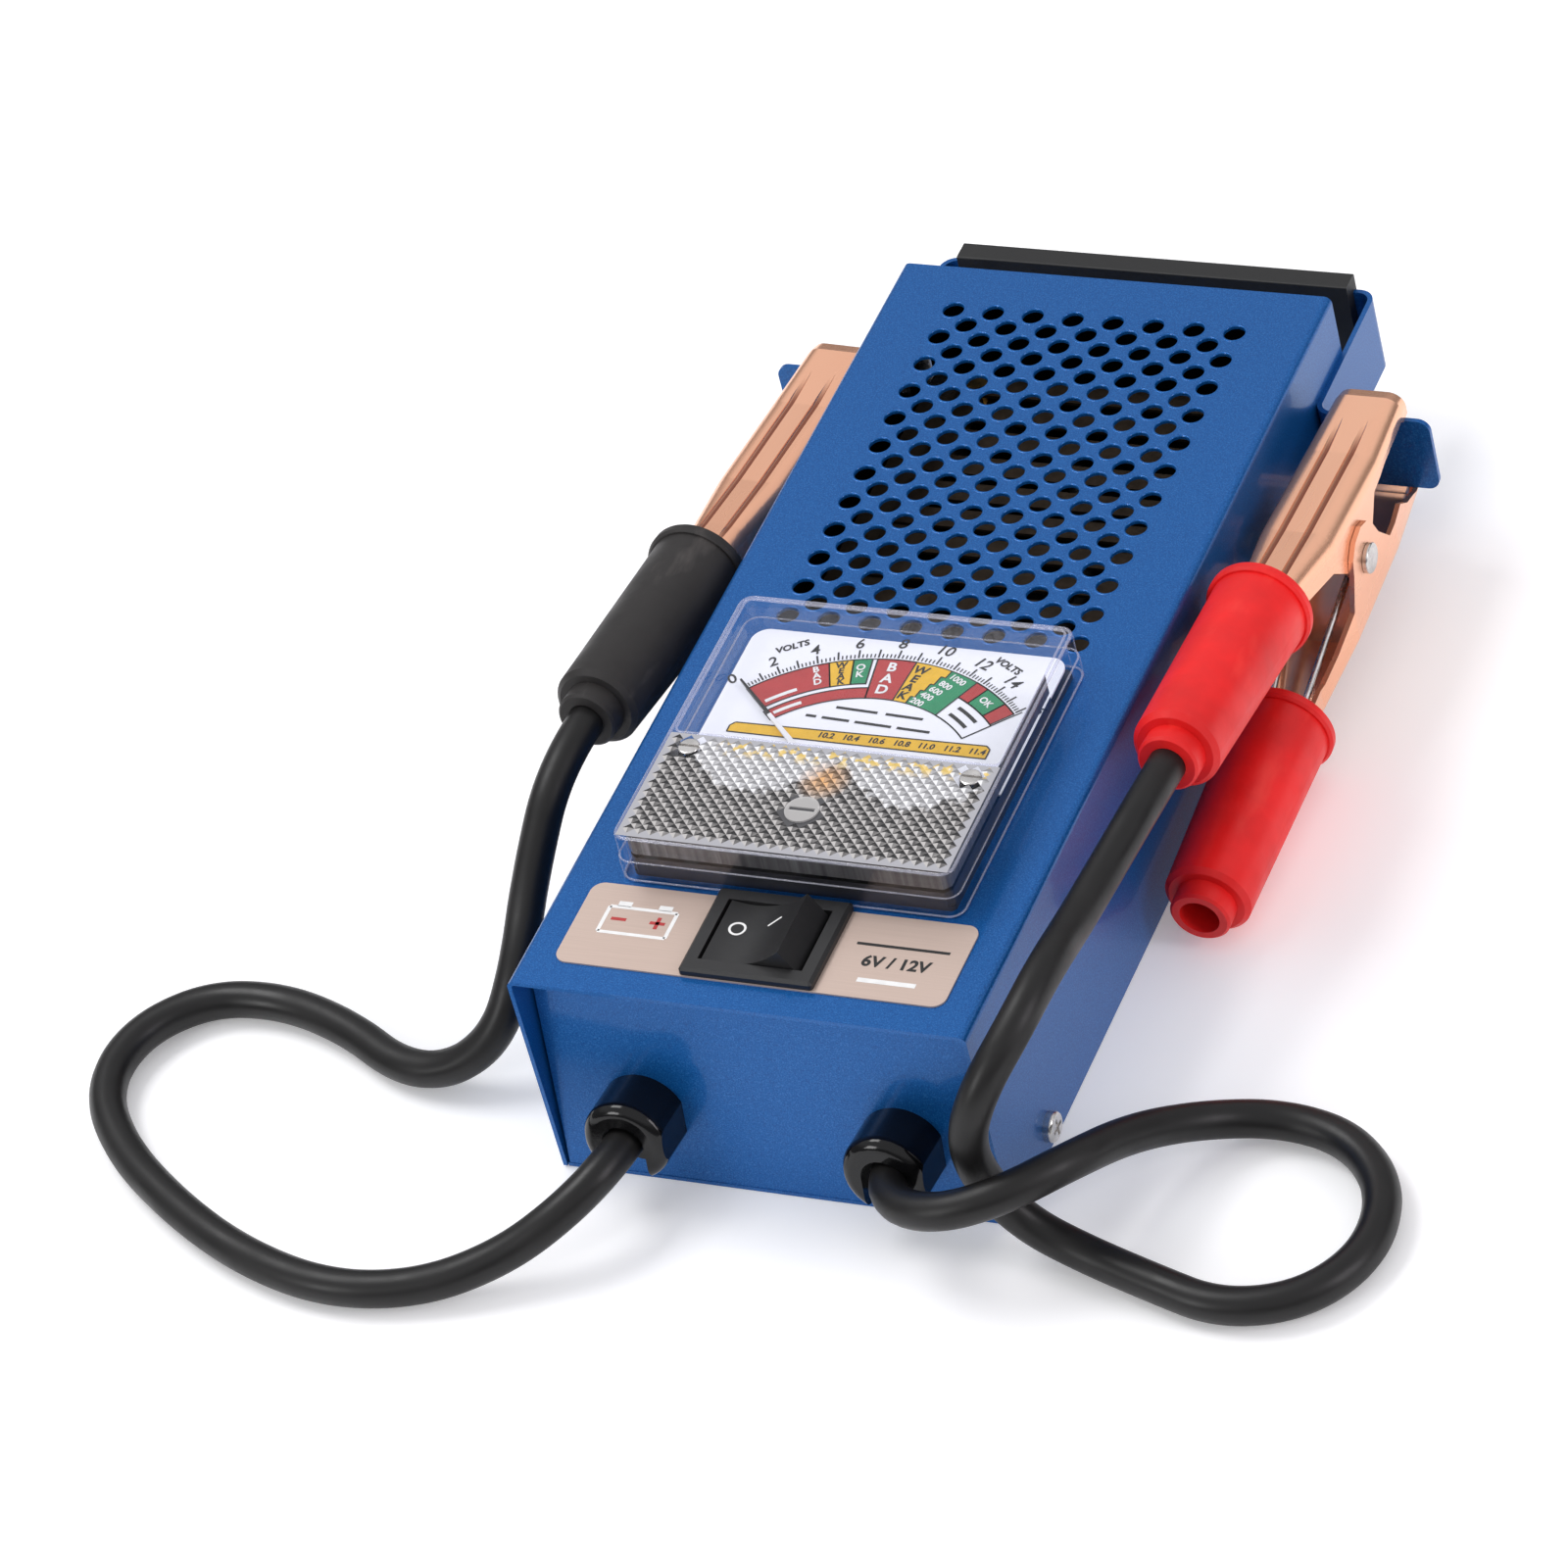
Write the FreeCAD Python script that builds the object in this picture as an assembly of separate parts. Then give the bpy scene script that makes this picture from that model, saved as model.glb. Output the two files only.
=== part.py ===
"""Battery load tester: sheet-steel case with a panel meter, a test switch and two clamp leads.

Axes: +X to the right of the front panel, +Y to the back (carry strap), +Z up.
Origin: on the resting surface, under the middle of the tester without its leads and clamps.
Units: millimetres.
"""
import math
import os

import FreeCAD
import Part

V = FreeCAD.Vector
X, Y, Z = V(1, 0, 0), V(0, 1, 0), V(0, 0, 1)

# ---------------------------------------------------------------- driving dimensions
# case
CASE_W, CASE_L, CASE_H = 107.0, 245.0, 56.5
FRONT_Y = -129.0
REAR_Y = FRONT_Y + CASE_L
SHEET = 1.0
BEND = 1.8                      # outer bend radius of the cover
COVER_LIFT = 0.3                # cover's lower edge above the resting surface
PANEL_LEAN = 7.7                # how far the front panel leans back at its top
PANEL_HALF_W = 51.9
FLANGE_H = 14.0                 # upturned side flanges of the base
SIDE_GAP = 0.2                  # between the base's flanges and the cover's walls

# ventilation holes: staggered rows, long and short in turn
VENT_R = 2.6
VENT_PITCH_X, VENT_PITCH_Y = 10.0, 9.8
VENT_LONG_ROWS, VENT_LONG_COUNT = 12, 8
VENT_FIRST_Y = REAR_Y - 15.2

# carry strap with its parking ears and grip
STRAP_T, STRAP_LOW, STRAP_H = 1.2, 20.0, 20.0
STRAP_X = CASE_W / 2            # inner face of the arms
STRAP_REACH = 22.6              # outer face of the rear bar behind the case
EAR_Y, EAR_SPAN = 94.8, 163.0
GRIP_W, GRIP_T, GRIP_OVER = 98.4, 5.6, 4.0

# fasteners
SCREW_R, SCREW_HEAD_R, SCREW_HEAD_H = 1.9, 3.5, 2.2
SCREW_INSET, SCREW_Z = 24.6, 6.0
RIVET_Y, RIVET_HEAD_R = 101.0, 3.2

# label plate and rocker switch
SWITCH_Y = FRONT_Y + 20.7
LABEL_W, LABEL_D, LABEL_T = 91.0, 24.8, 0.4
LABEL_Y = FRONT_Y + 20.0
BEZEL_W, BEZEL_D, BEZEL_T = 31.2, 25.8, 2.0
OPENING_W, OPENING_D = 24.4, 18.6
BODY_W, BODY_D, BODY_DEPTH = 28.2, 21.8, 23.0
PIVOT_DROP = 3.2                # rocker axis below the case's top face
ROCKER_TILT = 14.0              # degrees from level, each way
RIDGE_X, RIDGE_Z = 9.65, 8.1    # rocker's ridges from its axis
DISH = 2.6                      # depth of the hollow between the ridges
TRUNNION_R = 1.5
RUNNING = 0.05                  # radial clearance of running fits

# panel meter
METER_Y = FRONT_Y + 74.1
METER_W = 80.0
METER_SKIRT_H, METER_TOP_H = 5.9, 6.8
METER_WALL = 1.8
METER_CORNER = 3.2
BARREL_R, BARREL_DEPTH = 32.0, 30.0
NEEDLE_Y = METER_Y - 11.6       # axis of the moving coil
NEEDLE_REST = -47.3             # degrees from straight back, negative to the left
NEEDLE_L = 46.4
DIAL_Z = CASE_H + 4.1
DIAL_T = 0.5
METER_SCREW_X, METER_SCREW_Y = 33.3, METER_Y - 9.6
ADJUSTER_Y, ADJUSTER_R = METER_Y - 25.4, 3.9

# leads and their bushes
LEAD_D = 8.5
BUSH_X, BUSH_Z = 30.5, 18.0
BUSH_R, BUSH_HALF_W, BUSH_L = 10.0, 9.2, 12.55
BUSH_BACK = 4.0                 # solid back wall of the bush's head
# route points of each free lead, from its bush to its clamp
LEAD_EXIT = {-1: 16.0, 1: 12.0}  # straight run from the front panel before the first bend
LEFT_ROUTE = (
    (-38.2, -156.1, 16.0), (-51.1, -165.4, 8.8), (-68.1, -173.9, 4.9), (-88.8, -177.7, 4.8),
    (-112.0, -171.8, 4.5), (-133.7, -161.0, 4.9), (-154.6, -146.0, 4.5), (-167.6, -129.5, 4.9),
    (-167.4, -111.3, 5.2), (-155.1, -97.4, 4.8), (-137.2, -95.0, 4.6), (-117.9, -100.6, 4.7),
    (-100.3, -110.6, 4.5), (-86.3, -111.3, 6.8), (-74.9, -107.0, 15.5), (-70.6, -98.0, 28.7),
    (-73.3, -79.2, 37.9))
RIGHT_ROUTE = (
    (37.2, -146.8, 21.0), (49.4, -149.7, 24.3), (62.3, -145.0, 27.5), (72.6, -132.5, 26.9),
    (78.5, -113.9, 18.0), (88.4, -99.1, 8.8), (103.7, -92.2, 4.7), (120.3, -95.9, 4.6),
    (132.3, -109.0, 4.7), (134.2, -127.0, 4.5), (125.2, -142.5, 4.9), (108.1, -148.2, 4.5),
    (90.6, -143.4, 4.8), (73.5, -137.8, 4.6), (61.1, -136.5, 10.0), (53.2, -136.4, 21.2),
    (52.6, -138.4, 35.6), (57.5, -136.1, 48.8), (63.6, -125.9, 58.2), (65.3, -110.4, 60.6),
    (64.4, -91.4, 56.0), (65.4, -73.0, 55.5))

# clamps, measured from the rivet's axis with the jaws along +Y
CLAMP_Z = 32.0
BITE = EAR_Y                    # jaws close on the ears here
PIVOT_TO_BITE = 38.7
CLAMP_X = {"left": -64.4, "right": 67.5}
CLAMP_YAW = {"left": -2.2, "right": 0.0}
CLAMP_T = 1.2
UPPER_HALF_W, LOWER_HALF_W = 9.2, 10.5          # at the rivet
HANDLE_HALF_W, HANDLE_HALF_H = 7.0, 4.2
RIVET_R, RIVET_CAP_R = 2.4, 3.6
GROOVE_X, GROOVE_R, GROOVE_DEPTH = 3.1, 0.85, 0.65  # along the upper jaw's back
SPRING_R, SPRING_WIRE_R, SPRING_LEG_END = 3.7, 0.85, -50.0
# handle axes, (y, z), and the boots on them
UPPER_HANDLE = ((-31.5, 15.0), (-92.0, 22.6))
LOWER_HANDLE = ((-33.0, -18.2), (-93.5, -21.1))
BOOT_SLIP = {"left": 9.5, "right": 4.3}         # how far each upper boot is pulled back on its handle
BOOT_SAG = {"left": 1.6, "right": 0.0}
LOWER_SLIP = 4.3
FLANGE_R, FLANGE_T = 12.3, 3.0
BODY_R0, BODY_R1 = 11.2, 10.0
COLLAR_R, COLLAR_L = 7.0, 5.0
BOOT_WALL = 2.0


# ---------------------------------------------------------------- helpers
def box(x0, x1, y0, y1, z0, z1):
    return Part.makeBox(x1 - x0, y1 - y0, z1 - z0, V(x0, y0, z0))


def rod(radius, start, end):
    """Cylinder from one point to another."""
    return Part.makeCylinder(radius, (end - start).Length, start, end - start)


def prism(points, direction):
    """Closed polygon swept along a direction."""
    wire = Part.makePolygon(list(points) + [points[0]])
    return Part.Face(wire).extrude(direction)


def rounded_plate(width, depth, low, high, corner, centre_y=0.0):
    """Upright block on X and Y with rounded corners."""
    block = box(-width / 2, width / 2, centre_y - depth / 2, centre_y + depth / 2, low, high)
    return block.makeFillet(corner, edges_along(block, Z))


def edges_along(shape, axis, test=lambda c: True):
    """Straight edges parallel to an axis whose centre passes a test."""
    found = []
    for edge in shape.Edges:
        if len(edge.Vertexes) != 2:
            continue
        span = edge.Vertexes[1].Point - edge.Vertexes[0].Point
        straight = abs(span.Length - edge.Length) < 1e-6
        if straight and span.cross(axis).Length < 1e-6 and test(edge.CenterOfMass):
            found.append(edge)
    return found


def fillet_arc(before, corner, after, radius):
    """Start, middle and end of the arc that rounds a corner."""
    a = (before - corner).normalize()
    b = (after - corner).normalize()
    half = math.acos(max(-1.0, min(1.0, a.dot(b)))) / 2
    reach = radius / math.tan(half)
    centre = corner + (a + b).normalize() * (radius / math.sin(half))
    middle = centre + (corner - centre).normalize() * radius
    return corner + a * reach, middle, corner + b * reach


def rounded_path(points, radii):
    """Wire of straight runs joined by tangent arcs."""
    edges, last = [], points[0]
    for i, radius in enumerate(radii, start=1):
        start, middle, end = fillet_arc(points[i - 1], points[i], points[i + 1], radius)
        edges.append(Part.LineSegment(last, start).toShape())
        edges.append(Part.Arc(start, middle, end).toShape())
        last = end
    edges.append(Part.LineSegment(last, points[-1]).toShape())
    return Part.Wire(edges)


def tube(points, radii, diameter):
    """Round bar along a rounded path."""
    path = rounded_path(points, radii)
    ring = Part.Wire(Part.makeCircle(diameter / 2, points[0], points[1] - points[0]))
    return path, path.makePipeShell([ring], True, True)


def bent_strip(points, radius, low, height, thickness):
    """Sheet strip standing on edge: a centre line in plan, bent at its corners."""
    path = rounded_path(points, [radius] * (len(points) - 2))
    start, first = points[0], points[1] - points[0]
    side = first.cross(Z).normalize() * (thickness / 2)
    ends = [start + side, start - side, start - side + Z * height, start + side + Z * height]
    section = Part.makePolygon(ends + [ends[0]])
    strip = path.makePipeShell([section], True, True)
    strip.translate(Z * low)
    return strip


def mirrored(shape):
    return shape.mirror(V(0, 0, 0), X)


def both_sides(shape):
    return Part.makeCompound([mirrored(shape), shape])


def pan_head(centre, outward, radius, height):
    """Round screw head with a domed rim."""
    head = Part.makeCylinder(radius, height, centre, outward)
    rim = [e for e in head.Edges if abs((e.CenterOfMass - centre).dot(outward) - height) < 1e-6]
    return head.makeFillet(height * 0.4, rim)


# ---------------------------------------------------------------- case
def vent_holes():
    holes = []
    for row in range(2 * VENT_LONG_ROWS - 1):
        count = VENT_LONG_COUNT - row % 2
        y = VENT_FIRST_Y - row * VENT_PITCH_Y / 2
        for i in range(count):
            x = (i - (count - 1) / 2) * VENT_PITCH_X
            holes.append(Part.makeCylinder(VENT_R, 3 * SHEET, V(x, y, CASE_H - 2 * SHEET)))
    return Part.makeCompound(holes)


def screw_places():
    return [(side, y) for side in (-1, 1) for y in (FRONT_Y + SCREW_INSET, REAR_Y - SCREW_INSET)]


def side_holes(radius, y_z_places):
    """Holes along X through both side walls."""
    return Part.makeCompound([
        Part.makeCylinder(radius, CASE_W + 10, V(-CASE_W / 2 - 5, y, z), X) for y, z in y_z_places])


def meter_stud_places():
    reach = METER_W / 2 - 6.0
    return [(sx * reach, METER_Y + sy * reach) for sx in (-1, 1) for sy in (-1, 1)]


def top_cover():
    w = CASE_W / 2
    outer = box(-w, w, FRONT_Y, REAR_Y, COVER_LIFT, CASE_H)
    top = lambda c: c.z > CASE_H - 2 * SHEET
    outer = outer.makeFillet(BEND, edges_along(outer, Y, top))
    inner = box(-w + SHEET, w - SHEET, FRONT_Y - 1, REAR_Y + 1, -1, CASE_H - SHEET)
    inner = inner.makeFillet(BEND - SHEET, edges_along(inner, Y, top))
    cover = outer.cut(inner).cut(vent_holes())
    cover = cover.cut(Part.makeCylinder(BARREL_R + 0.5, 4, V(0, METER_Y, CASE_H - 3)))
    for x, y in meter_stud_places():
        cover = cover.cut(Part.makeCylinder(1.7, 4, V(x, y, CASE_H - 3)))
    hole_w, hole_d = BODY_W / 2 + 0.2, BODY_D / 2 + 0.2
    cover = cover.cut(box(-hole_w, hole_w, SWITCH_Y - hole_d, SWITCH_Y + hole_d, CASE_H - 3, CASE_H + 1))
    screws = [(y, SCREW_Z) for _, y in screw_places()[:2]]
    cover = cover.cut(side_holes(SCREW_R + 0.3, screws))
    return cover.cut(side_holes(1.6, [(RIVET_Y, STRAP_LOW + STRAP_H / 2)]))


def panel_y(z):
    """Outer face of the leaning front panel at a height."""
    return FRONT_Y + 0.3 + PANEL_LEAN * z / (CASE_H - SHEET)


def base_tray():
    top = CASE_H - SHEET - SIDE_GAP
    inside = CASE_W / 2 - SHEET - SIDE_GAP
    w = PANEL_HALF_W
    front = prism([V(-w, panel_y(0), 0), V(-w, panel_y(top), top),
                   V(-w, panel_y(top) + SHEET, top), V(-w, panel_y(0) + SHEET, 0)], X * (2 * w))
    rear = box(-w, w, REAR_Y - 0.3 - SHEET, REAR_Y - 0.3, 0, top)
    floor = box(-inside, inside, panel_y(0), REAR_Y - 0.3, 0, SHEET)
    flange = box(inside - SHEET, inside, FRONT_Y + 12, REAR_Y - 12, 0, FLANGE_H)
    tray = floor.multiFuse([front, rear, flange, mirrored(flange)])
    screws = [(y, SCREW_Z) for _, y in screw_places()[:2]]
    tray = tray.cut(side_holes(SCREW_R, screws))
    for side in (-1, 1):
        start, axis = bush_frame(side)
        tray = tray.cut(Part.makeCylinder(BUSH_R - 2, 6, start - axis * 3, axis))
    for x, y in standoff_places():
        tray = tray.cut(Part.makeCylinder(1.5, 4, V(x, y, -1)))
    return tray.removeSplitter()


def case_screws():
    screws = []
    for side, y in screw_places():
        seat, outward = V(side * CASE_W / 2, y, SCREW_Z), X * side
        head = pan_head(seat, outward, SCREW_HEAD_R, SCREW_HEAD_H)
        for across in (Y, Z):
            slot = box(-0.45, 0.45, -2.1, 2.1, -0.45, 0.45) if across == Y else \
                box(-0.45, 0.45, -0.45, 0.45, -2.1, 2.1)
            slot.translate(seat + outward * SCREW_HEAD_H)
            head = head.cut(slot)
        shank = Part.makeCylinder(SCREW_R, 7.0, seat, outward * -1)
        screws.append(head.fuse(shank).removeSplitter())
    return Part.makeCompound(screws)


# ---------------------------------------------------------------- strap and grip
def carry_strap():
    arm = STRAP_X + STRAP_T / 2
    back = REAR_Y + STRAP_REACH - STRAP_T / 2
    half = [V(EAR_SPAN / 2, EAR_Y, 0), V(arm, EAR_Y, 0), V(arm, back, 0)]
    points = half + [V(-p.x, p.y, 0) for p in reversed(half)]
    strap = bent_strip(points, 3.4, STRAP_LOW, STRAP_H, STRAP_T)
    tips = edges_along(strap, Y, lambda c: abs(c.x) > EAR_SPAN / 2 - 0.1)
    strap = strap.makeFillet(3.0, tips)
    return strap.cut(side_holes(1.6, [(RIVET_Y, STRAP_LOW + STRAP_H / 2)]))


def strap_grip():
    back = REAR_Y + STRAP_REACH
    low, high = STRAP_LOW - GRIP_OVER, STRAP_LOW + STRAP_H + GRIP_OVER
    sleeve = box(-GRIP_W / 2, GRIP_W / 2, back + 1.0 - GRIP_T, back + 1.0, low, high)
    sleeve = sleeve.makeFillet(0.45, edges_along(sleeve, X))
    slot = box(-GRIP_W, GRIP_W, back - STRAP_T, back, STRAP_LOW, STRAP_LOW + STRAP_H)
    return sleeve.cut(slot)


def strap_rivets():
    z = STRAP_LOW + STRAP_H / 2
    outer = V(STRAP_X + STRAP_T, RIVET_Y, z)
    head = pan_head(outer, X, RIVET_HEAD_R, 1.2)
    inner = outer - X * (STRAP_T + SHEET)
    shank = rod(1.6, outer, inner)
    tail = rod(2.6, inner, inner - X * 2)
    return both_sides(head.multiFuse([shank, tail]).removeSplitter())


# ---------------------------------------------------------------- label and switch
def label_plate():
    plate = rounded_plate(LABEL_W, LABEL_D, CASE_H, CASE_H + LABEL_T, 3.0, LABEL_Y)
    hole_w, hole_d = BODY_W / 2 + 0.2, BODY_D / 2 + 0.2
    return plate.cut(box(-hole_w, hole_w, SWITCH_Y - hole_d, SWITCH_Y + hole_d, CASE_H - 1, CASE_H + 1))


def switch_housing():
    seat = CASE_H + LABEL_T
    bezel = rounded_plate(BEZEL_W, BEZEL_D, seat, seat + BEZEL_T, 0.8, SWITCH_Y)
    rim = [e for e in bezel.Edges if abs(e.BoundBox.ZMin - seat - BEZEL_T) < 1e-6]
    bezel = bezel.makeChamfer(0.7, rim)
    body = box(-BODY_W / 2, BODY_W / 2, SWITCH_Y - BODY_D / 2, SWITCH_Y + BODY_D / 2,
               seat - BODY_DEPTH, seat)
    housing = bezel.fuse(body)
    housing = housing.cut(box(-OPENING_W / 2, OPENING_W / 2, SWITCH_Y - OPENING_D / 2,
                              SWITCH_Y + OPENING_D / 2, seat - BODY_DEPTH + 2, seat + 5))
    axis_z = CASE_H - PIVOT_DROP
    trunnions = Part.makeCylinder(TRUNNION_R + RUNNING, OPENING_D + 2.2,
                                  V(0, SWITCH_Y - OPENING_D / 2 - 1.1, axis_z), Y)
    return housing.cut(trunnions)


def switch_rocker():
    """Symmetrical rocker, shown with its right side up."""
    depth = OPENING_D - 0.4
    start = V(0, SWITCH_Y - depth / 2, CASE_H - PIVOT_DROP)
    at = lambda x, z: start + V(x, 0, z)
    ridge_l, ridge_r = at(-RIDGE_X, RIDGE_Z), at(RIDGE_X, RIDGE_Z)
    dish = Part.Arc(ridge_l, at(0, RIDGE_Z - DISH), ridge_r).toShape()
    below = [ridge_r, at(11.7, 1.4), at(11.4, -2.5), at(3.5, -4.5),
             at(-3.5, -4.5), at(-11.4, -2.5), at(-11.7, 1.4), ridge_l]
    wire = Part.Wire([dish] + Part.makePolygon(below).Edges)
    rocker = Part.Face(wire).extrude(Y * depth)
    pins = Part.makeCylinder(TRUNNION_R, OPENING_D + 1.8,
                             start + V(0, -(OPENING_D + 1.8 - depth) / 2, 0), Y)
    rocker = rocker.fuse(pins).removeSplitter()
    rocker.rotate(start, Y, -ROCKER_TILT)
    return rocker


def switch_terminals():
    low = CASE_H + LABEL_T - BODY_DEPTH
    blades = [box(x - 0.4, x + 0.4, SWITCH_Y - 3.1, SWITCH_Y + 3.1, low - 8, low)
              for x in (-9, 0, 9)]
    return Part.makeCompound(blades)


def switch_spring():
    """Leaf that pushes the rocker's right side up."""
    low = CASE_H + LABEL_T - BODY_DEPTH + 2
    y = SWITCH_Y - 2.5
    points = [V(9.5, 0, low + 0.4), V(1.0, 0, low + 7.0), V(6.5, 0, low + 14.8)]
    path = rounded_path(points, [1.5])
    section = Part.makePolygon([points[0] + V(0, 0, -0.2), points[0] + V(0, 5, -0.2),
                                points[0] + V(0, 5, 0.2), points[0] + V(0, 0, 0.2),
                                points[0] + V(0, 0, -0.2)])
    leaf = path.makePipeShell([section], True, True)
    leaf.translate(Y * y)
    return leaf


# ---------------------------------------------------------------- panel meter
def meter_cover():
    skirt_top = CASE_H + METER_SKIRT_H
    top = skirt_top + METER_TOP_H
    skirt = rounded_plate(METER_W + 0.8, METER_W + 0.8, CASE_H, skirt_top, METER_CORNER + 0.4, METER_Y)
    upper = rounded_plate(METER_W, METER_W, skirt_top, top, METER_CORNER, METER_Y)
    rim = [e for e in upper.Edges if abs(e.BoundBox.ZMin - top) < 1e-6]
    upper = upper.makeFillet(0.8, rim)
    inside = METER_W - 2 * METER_WALL
    hollow = rounded_plate(inside, inside, CASE_H - 1, top - METER_WALL, METER_CORNER - METER_WALL + 0.2,
                           METER_Y)
    cover = skirt.fuse(upper).removeSplitter().cut(hollow)
    for side in (-1, 1):
        place = V(side * METER_SCREW_X, METER_SCREW_Y, CASE_H)
        cover = cover.cut(Part.makeCylinder(1.5, 20, place))
        cover = cover.cut(Part.makeCylinder(2.7, 5, V(place.x, place.y, top - 1.0)))
    return cover.cut(Part.makeCylinder(ADJUSTER_R + RUNNING, 10, V(0, ADJUSTER_Y, top - 5)))


def meter_housing():
    inside = METER_W - 2 * METER_WALL - 0.6
    plate = rounded_plate(inside, inside, CASE_H, CASE_H + 1.5, 1.4, METER_Y)
    barrel = Part.makeCylinder(BARREL_R, BARREL_DEPTH, V(0, METER_Y, CASE_H - BARREL_DEPTH))
    hollow = Part.makeCylinder(BARREL_R - 1.5, BARREL_DEPTH, V(0, METER_Y, CASE_H - BARREL_DEPTH + 2))
    housing = plate.fuse(barrel).cut(hollow)
    posts = []
    for side in (-1, 1):
        screw = V(side * METER_SCREW_X, METER_SCREW_Y, CASE_H)
        boss = Part.makeCylinder(2.8, METER_SKIRT_H + METER_TOP_H - METER_WALL - 0.1, screw)
        posts.append(boss)
        posts.append(Part.makeCylinder(2.2, DIAL_Z - CASE_H, V(side * 34, METER_Y + 12, CASE_H)))
        posts.append(Part.makeCylinder(2.2, DIAL_Z - CASE_H, V(side * 34, METER_Y + 30, CASE_H)))
    housing = housing.multiFuse(posts).removeSplitter()
    for side in (-1, 1):
        screw = V(side * METER_SCREW_X, METER_SCREW_Y, CASE_H + 2)
        housing = housing.cut(Part.makeCylinder(1.2, 20, screw))
    for x in (-12, 12):
        housing = housing.cut(Part.makeCylinder(2.0, 6, V(x, METER_Y + 16, CASE_H - BARREL_DEPTH - 1)))
    for x, y in meter_stud_places():
        housing = housing.cut(Part.makeCylinder(1.5, 1.2, V(x, y, CASE_H)))
    return housing


def dial_plate():
    rear, front = METER_Y + 38.0, METER_Y - 6.0
    plate = box(-37.6, 37.6, front, rear, DIAL_Z, DIAL_Z + DIAL_T)
    plate = plate.makeFillet(4.0, edges_along(plate, Z, lambda c: c.y > METER_Y))
    notch = Part.makeCylinder(13.0, 4, V(0, NEEDLE_Y, DIAL_Z - 2))
    return plate.cut(notch)


def movement_floor():
    return CASE_H - 16.0


def meter_yoke():
    low = movement_floor()
    ring = Part.makeCylinder(14.5, 12, V(0, NEEDLE_Y, low)).cut(
        Part.makeCylinder(11.0, 12, V(0, NEEDLE_Y, low)))
    foot_z = CASE_H - BARREL_DEPTH + 2
    feet = [Part.makeCylinder(1.8, low - foot_z, V(0, NEEDLE_Y + s * 12.6, foot_z)) for s in (-1, 1)]
    lower = box(-2.5, 2.5, NEEDLE_Y - 12.7, NEEDLE_Y + 12.7, low - 4.4, low - 2.9)
    lower = lower.cut(Part.makeCylinder(0.5 + RUNNING, 8, V(0, NEEDLE_Y, low - 6)))
    return ring.multiFuse(feet + [lower]).removeSplitter()


def meter_core():
    low = movement_floor()
    core = Part.makeCylinder(7.0, 12, V(0, NEEDLE_Y, low))
    ribs = box(-1.5, 1.5, NEEDLE_Y - 12.0, NEEDLE_Y + 12.0, low + 4, low + 8)
    ribs = ribs.common(Part.makeCylinder(11.0, 12, V(0, NEEDLE_Y, low)))
    core = core.fuse(ribs).removeSplitter()
    return core.cut(Part.makeCylinder(0.9, 20, V(0, NEEDLE_Y, low - 2)))


def meter_bridge():
    low, high = movement_floor() + 12, CASE_H + 7.6
    strip = box(-13.5, 13.5, NEEDLE_Y - 2.2, NEEDLE_Y + 2.2, high, high + 1.0)
    posts = [Part.makeCylinder(1.3, high - low, V(s * 12.6, NEEDLE_Y, low)) for s in (-1, 1)]
    strip = strip.multiFuse(posts).removeSplitter()
    return strip.cut(Part.makeCylinder(0.5 + RUNNING, 4, V(0, NEEDLE_Y, high - 1)))


def turned(shape):
    """Turn a piece of the movement from straight back to the needle's resting place."""
    shape.rotate(V(0, NEEDLE_Y, 0), Z, -NEEDLE_REST)
    return shape


def meter_needle():
    z = CASE_H + 5.4
    tip = NEEDLE_L
    blade = prism([V(-0.9, 2, z), V(-0.22, tip, z), V(0.22, tip, z), V(0.9, 2, z)], Z * 0.5)
    tail = box(-0.6, 0.6, -8.0, -2.0, z, z + 0.5)
    weight = Part.makeCylinder(1.3, 1.0, V(0, -7.0, z - 0.2))
    hub = Part.makeCylinder(2.6, 0.9, V(0, 0, z - 0.2))
    needle = hub.multiFuse([blade, tail, weight]).removeSplitter()
    needle = needle.cut(Part.makeCylinder(0.5, 4, V(0, 0, z - 2)))
    needle.translate(V(0, NEEDLE_Y, 0))
    return turned(needle)


def meter_coil():
    low, high = movement_floor() - 2.0, movement_floor() + 14.0
    frame = box(-9.6, 9.6, -1.5, 1.5, low, high)
    frame = frame.cut(box(-8.2, 8.2, -2, 2, low + 1.3, high - 1.3))
    frame = frame.makeFillet(0.5, edges_along(frame, Y, lambda c: abs(c.x) > 9))
    frame = frame.cut(Part.makeCylinder(0.5, 30, V(0, 0, low - 5)))
    frame.translate(V(0, NEEDLE_Y, 0))
    return turned(frame)


def needle_staff():
    low = movement_floor()
    upper = Part.makeCylinder(0.5, CASE_H + 8.5 - (low + 12.1), V(0, NEEDLE_Y, low + 12.1))
    lower = Part.makeCylinder(0.5, 4.3, V(0, NEEDLE_Y, low - 4.4))
    return Part.makeCompound([upper, lower])


def hairspring():
    """Flat spiral over the needle's hub."""
    z, width, gap = CASE_H + 6.4, 0.25, 0.75
    turns, radius, shift = [], 1.1, 0.0
    for i in range(7):
        sign = 1 if i % 2 == 0 else -1
        ring = Part.makeCylinder(radius + width, 0.5, V(shift, NEEDLE_Y, z)).cut(
            Part.makeCylinder(radius, 0.5, V(shift, NEEDLE_Y, z)))
        half = box(-20, 20, NEEDLE_Y, NEEDLE_Y + 20 * sign, z, z + 0.5) if sign > 0 else \
            box(-20, 20, NEEDLE_Y - 20, NEEDLE_Y, z, z + 0.5)
        turns.append(ring.common(half))
        shift += -gap / 2 if sign > 0 else gap / 2
        radius += gap / 2
    return turns[0].multiFuse(turns[1:]).removeSplitter()


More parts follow.
